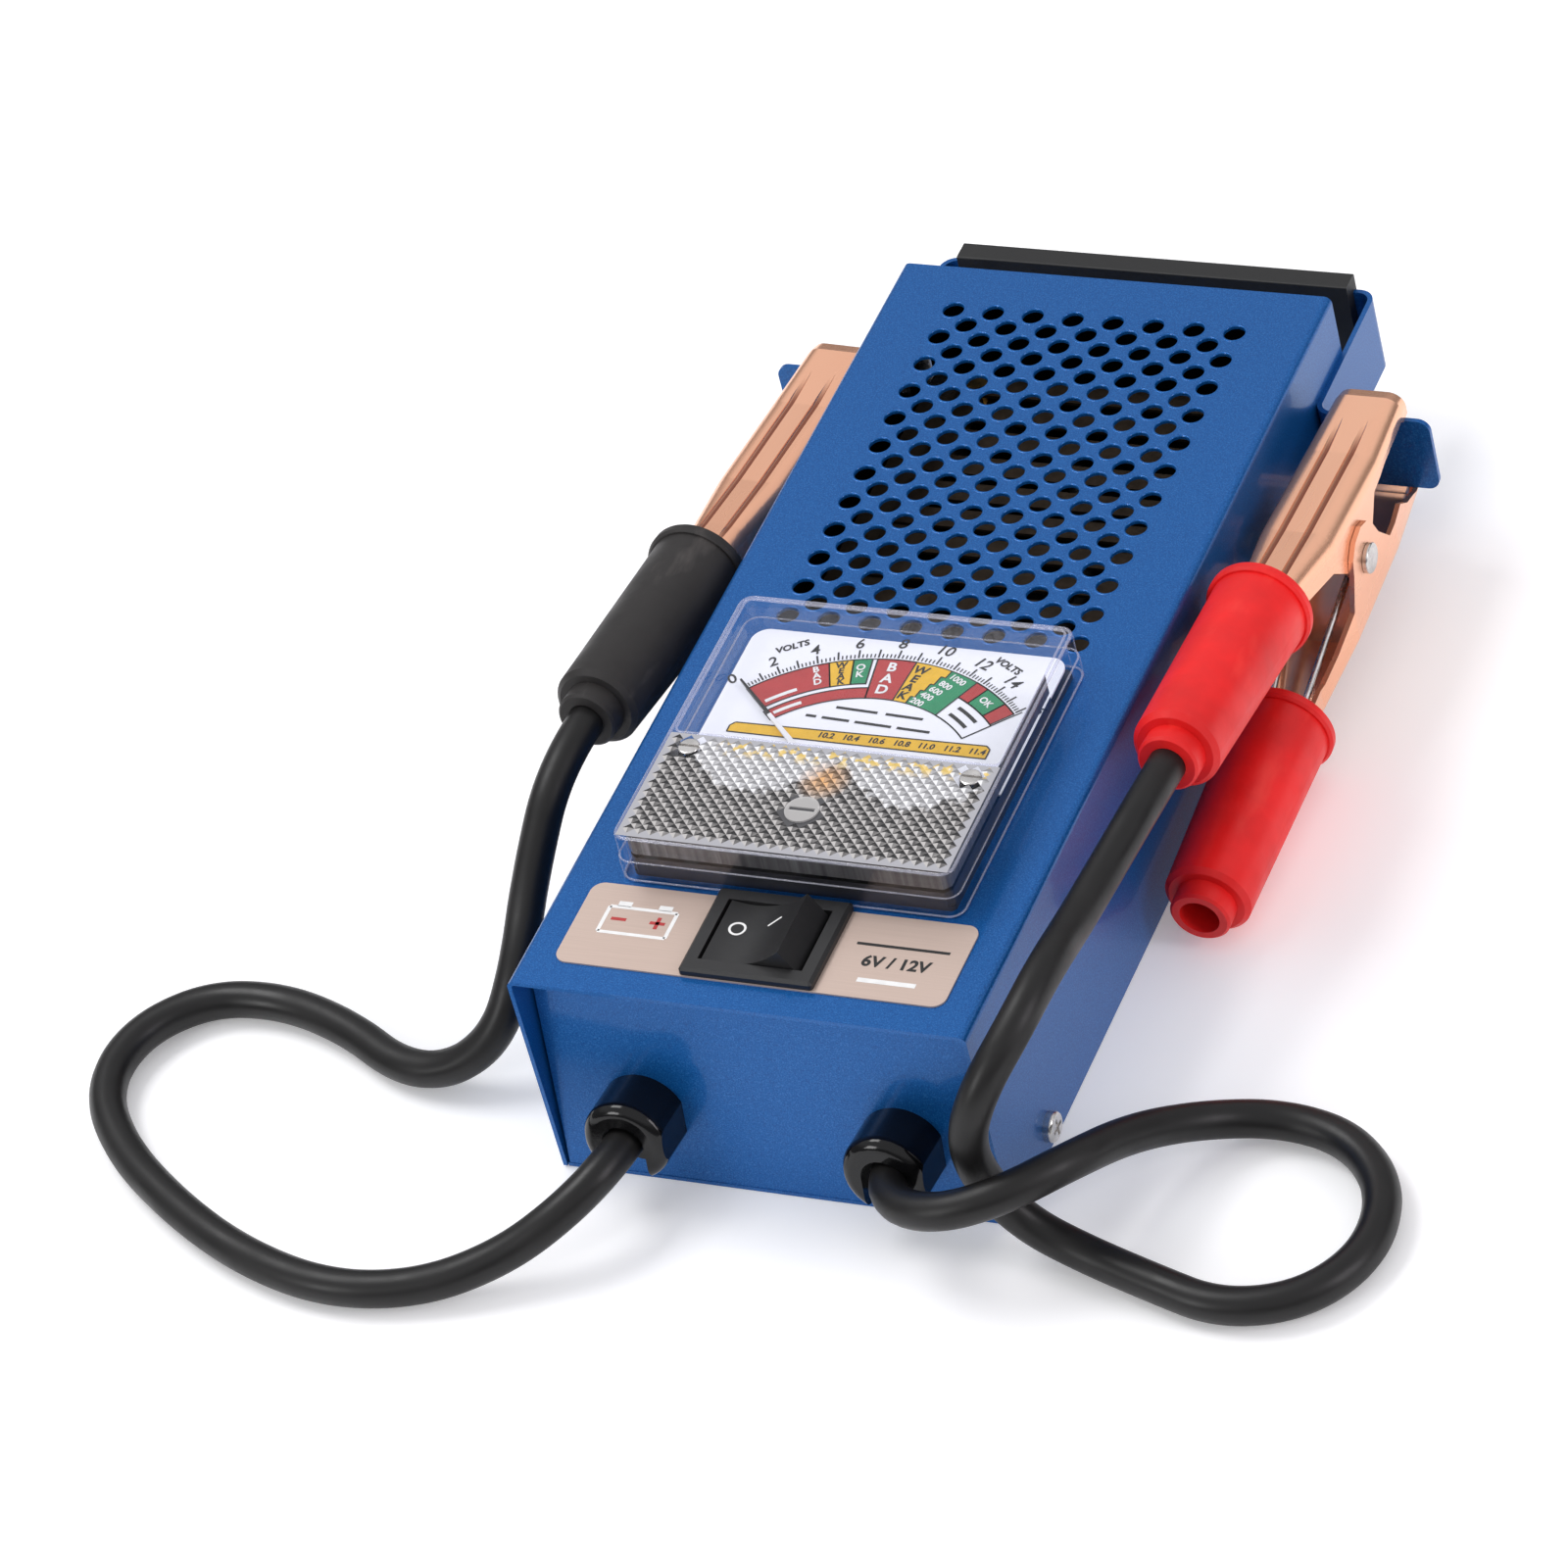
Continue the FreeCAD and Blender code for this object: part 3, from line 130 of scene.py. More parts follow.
# ---------------------------------------------------------------- finishes
class Finish:
    """A node material built up in layers over one Principled shader."""

    def __init__(self, name, color, rough, metal=0.0, coat=0.0, slot=None):
        self.material = bpy.data.materials.new(name)
        self.material.use_nodes = True
        self.tree = self.material.node_tree
        self.shader = self.tree.nodes["Principled BSDF"]
        self.coords = self.tree.nodes.new("ShaderNodeTexCoord").outputs["Object"]
        self.set("Base Color", (*color, 1))
        self.set("Roughness", rough)
        self.set("Metallic", metal)
        self.set("Coat Weight", coat)
        self.set("Coat Roughness", 0.06)
        self.color = color
        self.slot = slot or name
        self.normal = None

    def set(self, name, value):
        self.shader.inputs[name].default_value = value

    def plug(self, value, target):
        """Join a socket, or set a plain number or colour, at an input."""
        if isinstance(value, bpy.types.NodeSocket):
            self.tree.links.new(value, target)
        elif isinstance(value, tuple) and len(target.default_value) == 4:
            target.default_value = (*value, 1)
        else:
            target.default_value = value

    def node(self, kind, **values):
        made = self.tree.nodes.new("ShaderNode" + kind)
        for key, value in values.items():
            if key in made.inputs:
                self.plug(value, made.inputs[key])
            else:
                setattr(made, key, value)
        return made

    def math(self, operation, *values):
        made = self.node("Math", operation=operation)
        for value, target in zip(values, made.inputs):
            self.plug(value, target)
        return made.outputs[0]

    def product(self, *values):
        """All the values multiplied together."""
        total = values[0]
        for value in values[1:]:
            total = self.math("MULTIPLY", total, value)
        return total

    def within(self, value, low, high):
        """1 between two limits and 0 outside them."""
        return self.product(self.math("GREATER_THAN", value, low), self.math("LESS_THAN", value, high))

    def distance(self, place):
        made = self.node("VectorMath", operation="DISTANCE")
        self.tree.links.new(self.coords, made.inputs[0])
        made.inputs[1].default_value = place
        return made.outputs["Value"]

    def axes(self):
        return self.node("SeparateXYZ", Vector=self.coords).outputs

    def noise(self, scale, detail=4.0, stretch=None):
        vector = self.coords
        if stretch:
            vector = self.node("Mapping", Vector=self.coords, Scale=stretch).outputs["Vector"]
        return self.node("TexNoise", Scale=scale, Detail=detail, Vector=vector).outputs["Fac"]

    def ranged(self, source, low, high, start=0.3, end=0.7, smooth=False):
        remap = self.node("MapRange", interpolation_type="SMOOTHSTEP" if smooth else "LINEAR")
        for value, target in zip((source, start, end, low, high), remap.inputs):
            self.plug(value, target)
        return remap.outputs[0]

    def blend(self, factor, first, second):
        """Colour mix: sockets or plain colours."""
        mix = self.node("Mix", data_type="RGBA")
        for value, slot in ((factor, 0), (first, 6), (second, 7)):
            self.plug(value, mix.inputs[slot])
        return mix.outputs[2]

    def tint(self, factor, other):
        """Mix another colour into the base colour where the factor is high."""
        joined = self.shader.inputs["Base Color"].links
        base = joined[0].from_socket if joined else self.color
        self.plug(self.blend(factor, base, other), self.shader.inputs["Base Color"])

    def mottle(self, scale, amount):
        """Darker patches of the base colour."""
        darker = tuple(c * (1 - amount) for c in self.color)
        self.tint(self.ranged(self.noise(scale), 0.0, 1.0), darker)

    def gloss(self, scale, low, high, stretch=None):
        """Roughness that varies between two values."""
        rough = self.ranged(self.noise(scale, 5.0, stretch), low, high)
        self.plug(rough, self.shader.inputs["Roughness"])

    def bump(self, height, distance, strength):
        bump = self.node("Bump", Strength=strength, Distance=distance, Height=height)
        if self.normal:
            self.plug(self.normal, bump.inputs["Normal"])
        self.normal = bump.outputs["Normal"]
        self.plug(self.normal, self.shader.inputs["Normal"])
        return self

    def see_through(self, tint, edge, low, high):
        """Turn into thin clear plastic: mostly let light through, hazier at grazing angles."""
        clear = self.node("BsdfTransparent", Color=tint)
        haze = self.node("BsdfDiffuse", Color=edge)
        gloss = self.node("BsdfGlossy", Color=(1.0, 1.0, 1.0), Roughness=0.04)
        facing = self.node("LayerWeight", Blend=0.35).outputs["Facing"]
        hazy = self.node("MixShader", Fac=self.ranged(facing, low, high, 0.55, 1.0))
        self.tree.links.new(clear.outputs[0], hazy.inputs[1])
        self.tree.links.new(haze.outputs[0], hazy.inputs[2])
        glance = self.ranged(self.math("POWER", facing, 3.0), 0.02, 0.45, 0.0, 1.0)
        shiny = self.node("MixShader", Fac=glance)
        self.tree.links.new(hazy.outputs[0], shiny.inputs[1])
        self.tree.links.new(gloss.outputs[0], shiny.inputs[2])
        output = self.tree.nodes["Material Output"]
        self.tree.links.new(shiny.outputs[0], output.inputs["Surface"])
        return self


def dress(finish, *nodes):
    """Give CAD nodes a finish."""
    for name in nodes:
        obj = NODES[name]
        obj.data.materials.clear()
        obj.data.materials.append(finish.material)


def both(*names):
    """The left and the right node of each name."""
    return [name + side for name in names for side in ("_left", "_right")]


# Limits of the case's inside, where the paint is darkened as painted shade.
CASE_INSIDE = ((-1.0, 0.0526), (-0.1205, 0.1151), (0.0009, 0.0555))     # |x|, y and z in metres


def blue_paint():
    """Metallic blue with light and dark flecks, and painted shade near black on the surfaces inside the
    case.
    """
    paint = Finish("blue_paint", (0.002, 0.094, 0.335), 0.36, 0.42, coat=0.3)
    paint.set("Specular IOR Level", 0.22)
    fleck = paint.noise(3200.0, 1.0)
    paint.tint(paint.ranged(fleck, 0.0, 0.62, 0.52, 0.72), (0.035, 0.185, 0.50))
    paint.tint(paint.ranged(fleck, 0.65, 0.0, 0.28, 0.46), (0.004, 0.046, 0.19))
    x, y, z = paint.axes()
    ways = (paint.math("ABSOLUTE", x), y, z)
    # Painted shade: the blue paint inside the case is darkened to near black where little light reaches.
    inside = paint.product(*(paint.within(way, *limits) for way, limits in zip(ways, CASE_INSIDE)))
    paint.tint(inside, (0.006, 0.007, 0.010))
    return paint.bump(paint.noise(450.0, 2.0), 0.00003, 0.35)


def jaw_grooves(copper):
    """Where the shade gathers in the two grooves along each upper jaw."""
    x, y, z = copper.axes()
    left = copper.math("LESS_THAN", x, 0.0)
    centre = copper.math("ADD", copper.product(left, LEFT_JAW_X - RIGHT_JAW_X), RIGHT_JAW_X)
    lean = copper.product(left, math.tan(math.radians(LEFT_JAW_YAW)))
    swing = copper.product(lean, copper.math("SUBTRACT", y, EAR_Y))
    across = copper.math("ADD", copper.math("SUBTRACT", x, centre), swing)
    off = copper.math("SUBTRACT", copper.math("ABSOLUTE", across), GROOVE_X)
    groove = copper.ranged(copper.math("ABSOLUTE", off), 1.0, 0.0, 0.0003, 0.0008, smooth=True)
    near = copper.ranged(y, 0.0, 1.0, 0.016, 0.026, smooth=True)
    far = copper.ranged(y, 1.0, 0.0, 0.074, 0.085, smooth=True)
    top = copper.math("GREATER_THAN", z, 0.043)
    return copper.product(groove, top, near, far)


def copper_plate():
    """Bright copper plating with streaks along the jaws."""
    copper = Finish("copper_plate", (1.0, 0.555, 0.365), 0.22, 0.86)
    copper.tint(copper.ranged(copper.noise(60.0, 3.0, (1, 0.25, 1)), 0.0, 0.4), (1.0, 0.49, 0.31))
    scratches = copper.noise(900.0, 2.0, (1, 0.1, 1))
    copper.tint(copper.ranged(scratches, 0.0, 0.12, 0.60, 0.78), (0.80, 0.38, 0.24))
    copper.gloss(60.0, 0.14, 0.30, (1, 0.2, 1))
    copper.tint(jaw_grooves(copper), (0.30, 0.11, 0.07))
    ripple = copper.noise(55.0, 2.0, (1, 0.2, 1))
    return copper.bump(ripple, 0.0006, 0.35)


def rubber(name, color, rough, dust, slot):
    """Soft moulded sleeve with dusty scuffs and a slightly uneven skin."""
    skin = Finish(name, color, rough, slot=slot)
    skin.set("Specular IOR Level", 0.38)
    skin.mottle(70.0, 0.25)
    skin.tint(skin.ranged(skin.noise(160.0, 6.0, (1, 0.3, 1)), 0.0, 0.5, 0.60, 0.82), dust)
    skin.gloss(120.0, rough - 0.07, rough + 0.12)
    return skin.bump(skin.noise(900.0, 3.0), 0.00006, 0.4).bump(skin.noise(45.0, 3.0), 0.0009, 0.25)


def metal(name, color, rough):
    """Bare metal with uneven shine."""
    finish = Finish(name, color, rough, 1.0)
    finish.mottle(300.0, 0.35)
    finish.gloss(500.0, rough, rough + 0.15)
    return finish


def plastic(name, color, rough, slot=None):
    """Plastic, card or ink with a fine grain."""
    finish = Finish(name, color, rough, slot=slot)
    finish.mottle(400.0, 0.12)
    return finish.bump(finish.noise(1500.0, 2.0), 0.00005, 0.3)


def cable_rubber():
    """Satin black jacket of the leads."""
    jacket = Finish("cable_rubber", (0.0075, 0.0070, 0.0070), 0.38)
    jacket.set("Specular IOR Level", 0.36)
    jacket.mottle(120.0, 0.3)
    jacket.gloss(90.0, 0.33, 0.50)
    return jacket.bump(jacket.noise(1200.0, 2.0), 0.00004, 0.4)


def gloss_black():
    """Polished plastic of the bushes at the leads' exits."""
    bush = plastic("gloss_black", (0.004, 0.004, 0.0045), 0.12)
    bush.set("Specular IOR Level", 0.34)
    return bush


def dial_paper():
    """White of the dial's plate."""
    paper = Finish("dial_white", (0.90, 0.91, 0.96), 0.45)
    paper.mottle(400.0, 0.02)
    return paper


def needle_paint():
    """Black pointer whose lower part, near the pivot, is painted pale."""
    needle = Finish("needle_black", (0.008, 0.008, 0.008), 0.4)
    needle.mottle(400.0, 0.1)
    pivot = (0.0, NEEDLE_Y * MM, NEEDLE_Z * MM)
    needle.tint(needle.math("LESS_THAN", needle.distance(pivot), PALE_REACH * MM), (0.85, 0.85, 0.87))
    return needle


def brushed_dark():
    """Grey card streaked up and down, seen through the meter's walls."""
    card = Finish("brushed_dark", (0.16, 0.155, 0.155), 0.35, 0.3, slot="meter_black")
    card.tint(card.ranged(card.noise(900.0, 3.0, (1, 1, 0.03)), 0.0, 0.8), (0.05, 0.05, 0.05))
    card.tint(card.ranged(card.noise(500.0, 3.0, (1, 1, 0.03)), 0.0, 0.5, 0.6, 0.8), (0.42, 0.42, 0.43))
    return card


def brushed_label():
    """Coppery label metal brushed along the panel's width."""
    plate = Finish("label_metal", (0.58, 0.45, 0.385), 0.40, 0.35)
    plate.tint(plate.ranged(plate.noise(2600.0, 3.0, (0.02, 1, 1)), 0.0, 0.4), (0.48, 0.37, 0.31))
    plate.tint(plate.ranged(plate.noise(14.0, 2.0), 0.0, 0.35), (0.66, 0.53, 0.46))
    return plate.bump(plate.noise(1500.0, 2.0, (0.03, 1, 1)), 0.00003, 0.4)


TAB_MIDDLE, TAB_HALF = 0.0035, 0.0185           # the two pale tabs behind the pyramids, in metres
TAB_LOW, TAB_RISE = -0.0765, 0.0125
GLINT_PLACE = (0.0015, -0.0705, 0.069)
KNOB_REACH = 0.007                              # dark flat round the adjuster


def faceted_plastic():
    """Clear pyramids over dark, with the dial's pale lower tabs and a painted coppery glint behind; each
    facet is painted lit or shaded by the way it faces the light.
    """
    plate = Finish("facets", (0.05, 0.05, 0.05), 0.22, coat=0.4, slot="clear_cover")
    x, y, _ = plate.axes()
    normal = plate.node("NewGeometry").outputs["Normal"]
    nx, ny, nz = plate.node("SeparateXYZ", Vector=normal).outputs
    # Painted light and shade: a facet's colour is lighter the more it faces the front left, where the light
    # comes from.
    facing_light = plate.math("SUBTRACT", plate.product(nx, -0.45), ny)
    wobble = plate.noise(420.0, 2.0)
    shine = plate.math("ADD", plate.ranged(facing_light, 0.0, 1.0, 0.0, 0.33), plate.ranged(wobble, -0.22, 0.22))
    lit = plate.ranged(shine, 0.0, 1.0, 0.05, 0.95)
    # Painted highlight on the lit facets and near black on the shaded ones, over the dark and over the pale
    # tabs.
    dark = plate.blend(lit, (0.006, 0.006, 0.007), (0.50, 0.48, 0.47))
    pale = plate.blend(lit, (0.28, 0.28, 0.29), (0.85, 0.85, 0.87))
    aside = plate.math("ABSOLUTE", plate.math("SUBTRACT", x, TAB_MIDDLE))
    lobe = plate.math("SUBTRACT", plate.math("DIVIDE", aside, TAB_HALF), 1.0)
    edge = plate.math("ADD", plate.product(lobe, lobe, TAB_RISE), TAB_LOW)
    ragged = plate.math("ADD", y, plate.ranged(wobble, -0.0018, 0.0018))
    tabs = plate.ranged(plate.math("SUBTRACT", ragged, edge), 0.0, 1.0, -0.0006, 0.0008)
    color = plate.blend(tabs, dark, pale)
    near = plate.ranged(plate.distance(GLINT_PLACE), 1.0, 0.0, 0.001, 0.0065)
    glint = plate.product(near, plate.ranged(lit, 0.25, 1.0, 0.0, 1.0))
    color = plate.blend(glint, color, (0.80, 0.42, 0.16))
    amber = plate.product(plate.ranged(y, 0.0, 0.85, -0.0668, -0.0640),
                          plate.ranged(wobble, 0.0, 1.0, 0.50, 0.58),
                          plate.ranged(x, 0.0, 1.0, -0.027, -0.023))
    color = plate.blend(amber, color, (0.80, 0.55, 0.10))
    level = plate.ranged(nz, 0.0, 1.0, 0.985, 0.999)
    knob = plate.math("LESS_THAN", plate.distance((0.0, ADJUSTER_Y * MM, METER_TOP * MM)), KNOB_REACH)
    color = plate.blend(level, color, plate.blend(knob, (0.40, 0.40, 0.43), (0.06, 0.06, 0.065)))
    plate.plug(color, plate.shader.inputs["Base Color"])
    return plate


# ---------------------------------------------------------------- mesh helpers
def add_mesh(name, mesh, finish, body):
    """Put a mesh in the scene as a piece that rides on a body."""
    obj = bpy.data.objects.new(name, mesh)
    bpy.context.scene.collection.objects.link(obj)
    mesh.materials.append(finish.material)
    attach(obj, body)


def flat_pieces(name, outlines, height, finish):
    """Thin printed shapes: each outline is a list of (x, y) in millimetres, all at one height."""
    mesh = bpy.data.meshes.new(name)
    verts, faces = [], []
    for outline in outlines:
        first = len(verts)
        verts += [Vector((x, y, height)) * MM for x, y in outline]
        faces.append(tuple(range(first, len(verts))))
    mesh.from_pydata(verts, [], faces)
    mesh.update()
    bm = bmesh.new()
    bm.from_mesh(mesh)
    for face in bm.faces:
        if face.normal.z < 0:
            face.normal_flip()
    bm.to_mesh(mesh)
    bm.free()
    add_mesh(name, mesh, finish, ROOT)


def lettering(name, items, height, finish, weight, slant=0.0):
    """Items are (text, x, y, degrees clockwise, size), all in millimetres."""
    mesh = bpy.data.meshes.new(name)
    whole = bmesh.new()
    for text, x, y, turn, size in items:
        curve = bpy.data.curves.new("text", "FONT")
        curve.body = text
        curve.size = size * MM
        curve.offset = weight * size * MM
        curve.shear = slant
        curve.align_x = "CENTER"
        curve.align_y = "CENTER"
        curve.resolution_u = 3
        obj = bpy.data.objects.new("text", curve)
        bpy.context.scene.collection.objects.link(obj)
        bpy.context.view_layer.update()
        shown = obj.evaluated_get(bpy.context.evaluated_depsgraph_get())
        made = bpy.data.meshes.new_from_object(shown)
        spin = Matrix.Rotation(-math.radians(turn), 4, "Z")
        made.transform(Matrix.Translation(Vector((x, y, height)) * MM) @ spin)
        whole.from_mesh(made)
        bpy.data.objects.remove(obj)
        bpy.data.curves.remove(curve)
        bpy.data.meshes.remove(made)
    whole.to_mesh(mesh)
    whole.free()
    add_mesh(name, mesh, finish, ROOT)


# ---------------------------------------------------------------- leads
LEAD_D = 8.5 * MM
LEFT_ROUTE = (
    (-0.0305, -0.1267, 0.0181), (-0.0305, -0.1421, 0.0202), (-0.0382, -0.1561, 0.0160),
    (-0.0511, -0.1654, 0.0088), (-0.0681, -0.1739, 0.0049), (-0.0888, -0.1777, 0.0048),
    (-0.1120, -0.1718, 0.0045), (-0.1337, -0.1610, 0.0049), (-0.1546, -0.1460, 0.0045),
    (-0.1676, -0.1295, 0.0049), (-0.1674, -0.1113, 0.0052), (-0.1551, -0.0974, 0.0048),
    (-0.1372, -0.0950, 0.0046), (-0.1179, -0.1006, 0.0047), (-0.1003, -0.1106, 0.0045),
    (-0.0863, -0.1113, 0.0068), (-0.0749, -0.1070, 0.0155), (-0.0706, -0.0980, 0.0287),
    (-0.0733, -0.0792, 0.0379), (-0.0704, -0.0601, 0.0559), (-0.0696, -0.0393, 0.0535))
RIGHT_ROUTE = (
    (0.0305, -0.1267, 0.0181), (0.0305, -0.1381, 0.0196), (0.0372, -0.1468, 0.0210),
    (0.0494, -0.1497, 0.0243), (0.0623, -0.1450, 0.0275), (0.0726, -0.1325, 0.0269),
    (0.0785, -0.1139, 0.0180), (0.0884, -0.0991, 0.0088), (0.1037, -0.0922, 0.0047),
    (0.1203, -0.0959, 0.0046), (0.1323, -0.1090, 0.0047), (0.1342, -0.1270, 0.0045),
    (0.1252, -0.1425, 0.0049), (0.1081, -0.1482, 0.0045), (0.0906, -0.1434, 0.0048),
    (0.0735, -0.1378, 0.0046), (0.0611, -0.1365, 0.0100), (0.0532, -0.1364, 0.0212),
    (0.0526, -0.1384, 0.0356), (0.0575, -0.1361, 0.0488), (0.0636, -0.1259, 0.0582),
    (0.0653, -0.1104, 0.0606), (0.0644, -0.0914, 0.0560), (0.0654, -0.0730, 0.0555),
    (0.0675, -0.0550, 0.0570), (0.0675, -0.0342, 0.0544))


def make_lead(side, route, finish):
    """Rubber lead from its bush to its clamp, in place of the plain tube."""
    curve = bpy.data.curves.new("lead_" + side + "_cable", "CURVE")
    curve.dimensions = "3D"
    spline = curve.splines.new("NURBS")
    spline.points.add(len(route) - 1)
    for point, place in zip(spline.points, route):
        point.co = (*place, 1)
    spline.order_u = 3
    spline.use_endpoint_u = True
    spline.resolution_u = 16
    curve.bevel_depth = LEAD_D / 2
    curve.bevel_resolution = 8
    curve.use_fill_caps = True
    curve.materials.append(finish.material)
    lead = bpy.data.objects.new("lead_" + side + "_cable", curve)
    bpy.context.scene.collection.objects.link(lead)
    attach(lead, ROOT)
    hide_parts("lead_" + side)


# ---------------------------------------------------------------- meter
METER_Y, METER_HALF = -54.9, 40.0               # all the meter's sizes are in millimetres
METER_TOP = 69.2
WINDOW_Y = -60.4
NEEDLE_Y, NEEDLE_Z = -66.5, 62.0
PALE_REACH = 31.8
ADJUSTER_Y = -80.3
METER_SCREW = (33.3, -64.5)
DIAL_TOP = 61.1
SCALE_TURN = {0: -47.0, 2: -36.6, 4: -25.4, 6: -13.5, 8: -1.7, 10: 10.5, 12: 22.5, 14: 34.0, 16: 45.3}
NUMBER_TURN = {0: -48.9, 2: -37.2, 4: -25.8, 6: -13.9, 8: -2.1, 10: 10.1, 12: 22.3, 14: 33.8, 16: 47.0}


def polar(radius, turn):
    """Point at a distance from the needle's pivot, in degrees clockwise from straight up."""
    turn = math.radians(turn)
    return radius * math.sin(turn), NEEDLE_Y + radius * math.cos(turn)


def scale_turn(volts):
    """Where a voltage lies on the dial's uneven scale."""
    low = min(14, int(volts // 2) * 2)
    share = (volts - low) / 2
    return SCALE_TURN[low] * (1 - share) + SCALE_TURN[low + 2] * share


def sector(r0, r1, t0, t1):
    """Outline of a band between two radii and two turns."""
    steps = max(2, int(abs(t1 - t0) / 1.5) + 1)
    turns = [t0 + (t1 - t0) * i / steps for i in range(steps + 1)]
    return [polar(r1, t) for t in turns] + [polar(r0, t) for t in reversed(turns)]


def stroke(a, b, width):
    """Rectangle of a given width from a to b."""
    a, b = Vector(a), Vector(b)
    side = (b - a).normalized().orthogonal() * (width / 2)
    return [tuple(p) for p in (a + side, b + side, b - side, a - side)]


def outline_of(r0, r1, t0, t1, width):
    """Line round a sector."""
    half = width / 2
    edges = [sector(r - half, r + half, t0, t1) for r in (r0, r1)]
    return edges + [stroke(polar(r0 - half, t), polar(r1 + half, t), width) for t in (t0, t1)]


# A band is its inner and outer radius and its first and last turn in degrees; a stair is its outer
# and inner radius and the turn where yellow gives way to green.
LINE, HALF_FINE = 0.36, 0.14                    # width of the outlines, half width of the fine ones
BAND_IN, SPLIT_LOW, SPLIT_HIGH, ARM_IN, BAND_OUT = 31.0, 34.4, 35.7, 38.0, 43.8
STAIRS_START, STAIRS_END = 4.5, 26.4
STAIRS = ((BAND_OUT, 41.3, 16.6), (41.3, 38.4, 15.0), (38.4, 35.9, 13.7), (35.9, 33.4, 12.2),
          (33.4, BAND_IN, 10.5))
RED = ((SPLIT_HIGH, BAND_OUT, -47.3, -22.1), (BAND_IN, SPLIT_LOW, -47.8, -7.6),
       (BAND_IN, BAND_OUT, -7.6, STAIRS_START), (ARM_IN, BAND_OUT, STAIRS_END, 31.2),
       (ARM_IN, BAND_OUT, 40.1, 45.6))
YELLOW = ((SPLIT_HIGH, BAND_OUT, -22.1, -14.8),)
GREEN = ((SPLIT_HIGH, BAND_OUT, -14.8, -9.1), (ARM_IN, BAND_OUT, 31.2, 40.1))
TICK_IN, TICK_OUT, TICK_LONG = 44.3, 45.5, 46.9
STRIP = ((-31.6, -50.6), (-31.6, -48.6), (-30.6, -47.5), (28.9, -46.6), (30.0, -47.6), (30.0, -50.6))
BAR_THICK, WORD_SLOPE = 0.75, 0.045
WORD_BARS = ((-40.3, ((-9.5, 0.5), (2.5, 11.5))),
             (-44.0, ((-15.5, -13.0), (-11.6, -5.0), (-3.6, 5.2), (6.6, 14.5))))


def scale_ticks():
    """A mark each fifth of a volt, longer on the whole volts."""
    ticks = []
    for step in range(81):
        turn = scale_turn(step / 5)
        height, width = (TICK_LONG, 0.42) if step % 5 == 0 else (TICK_OUT, 0.3)
        ticks.append(stroke(polar(TICK_IN, turn), polar(height, turn), width))
    return ticks


def word_bars():
    """Short bars that stand for the dial's small wording."""
    bars = []
    for y, spans in WORD_BARS:
        for span in spans:
            start, end = [(x, y + 0.35 - WORD_SLOPE * x) for x in span]
            bars.append(stroke(start, end, BAR_THICK))
    return bars + [sector(radius - 0.45, radius + 0.45, 30.5, 41.5) for radius in (35.8, 33.2)]


def dial_print(inks):
    """The dial's coloured bands, its outlines and its scale."""
    red = [sector(*band) for band in RED]
    yellow = [sector(*band) for band in YELLOW]
    green = [sector(*band) for band in GREEN]
    lines = []
    for band in RED + YELLOW + GREEN:
        lines += outline_of(*band, LINE)
    for high, low, turn in STAIRS:
        yellow.append(sector(low, high, STAIRS_START, turn))
        green.append(sector(low, high, turn, STAIRS_END))
        lines.append(stroke(polar(low, turn), polar(high, turn), LINE))
    lines += [sector(BAND_IN - HALF_FINE, BAND_IN + HALF_FINE, STAIRS_START, 46.3),
              sector(BAND_OUT - HALF_FINE, BAND_OUT + HALF_FINE, -47.4, 45.8)]
    for (_, low, turn), (_, _, following) in zip(STAIRS, STAIRS[1:]):
        lines.append(sector(low - HALF_FINE, low + HALF_FINE, following, turn))
    lines += outline_of(BAND_IN, ARM_IN, STAIRS_END, 46.3, LINE)
    lines.append(stroke(polar(BAND_IN, 46.3), polar(45.6, 46.3), 0.3))
    lines += scale_ticks()
    yellow.append(STRIP)
    lines += [stroke(a, b, LINE) for a, b in zip(STRIP, STRIP[1:] + STRIP[:1])]
    lines += word_bars()
    white = [sector(radius - 0.5, radius + 0.5, -45.0, -33.5) for radius in (37.4, 32.7)]
    flat_pieces("dial_red", red, DIAL_TOP + 0.04, inks["red"])
    flat_pieces("dial_yellow", yellow, DIAL_TOP + 0.05, inks["yellow"])
    flat_pieces("dial_green", green, DIAL_TOP + 0.06, inks["green"])
    flat_pieces("dial_lines", lines, DIAL_TOP + 0.09, inks["black"])
    flat_pieces("dial_white_bars", white, DIAL_TOP + 0.10, inks["white"])


def stacked(word, radii, turns, size):
    """Letters of a word one under another, each upright on the dial."""
    return [(letter, *polar(r, t), t, size) for letter, r, t in zip(word, radii, turns)]


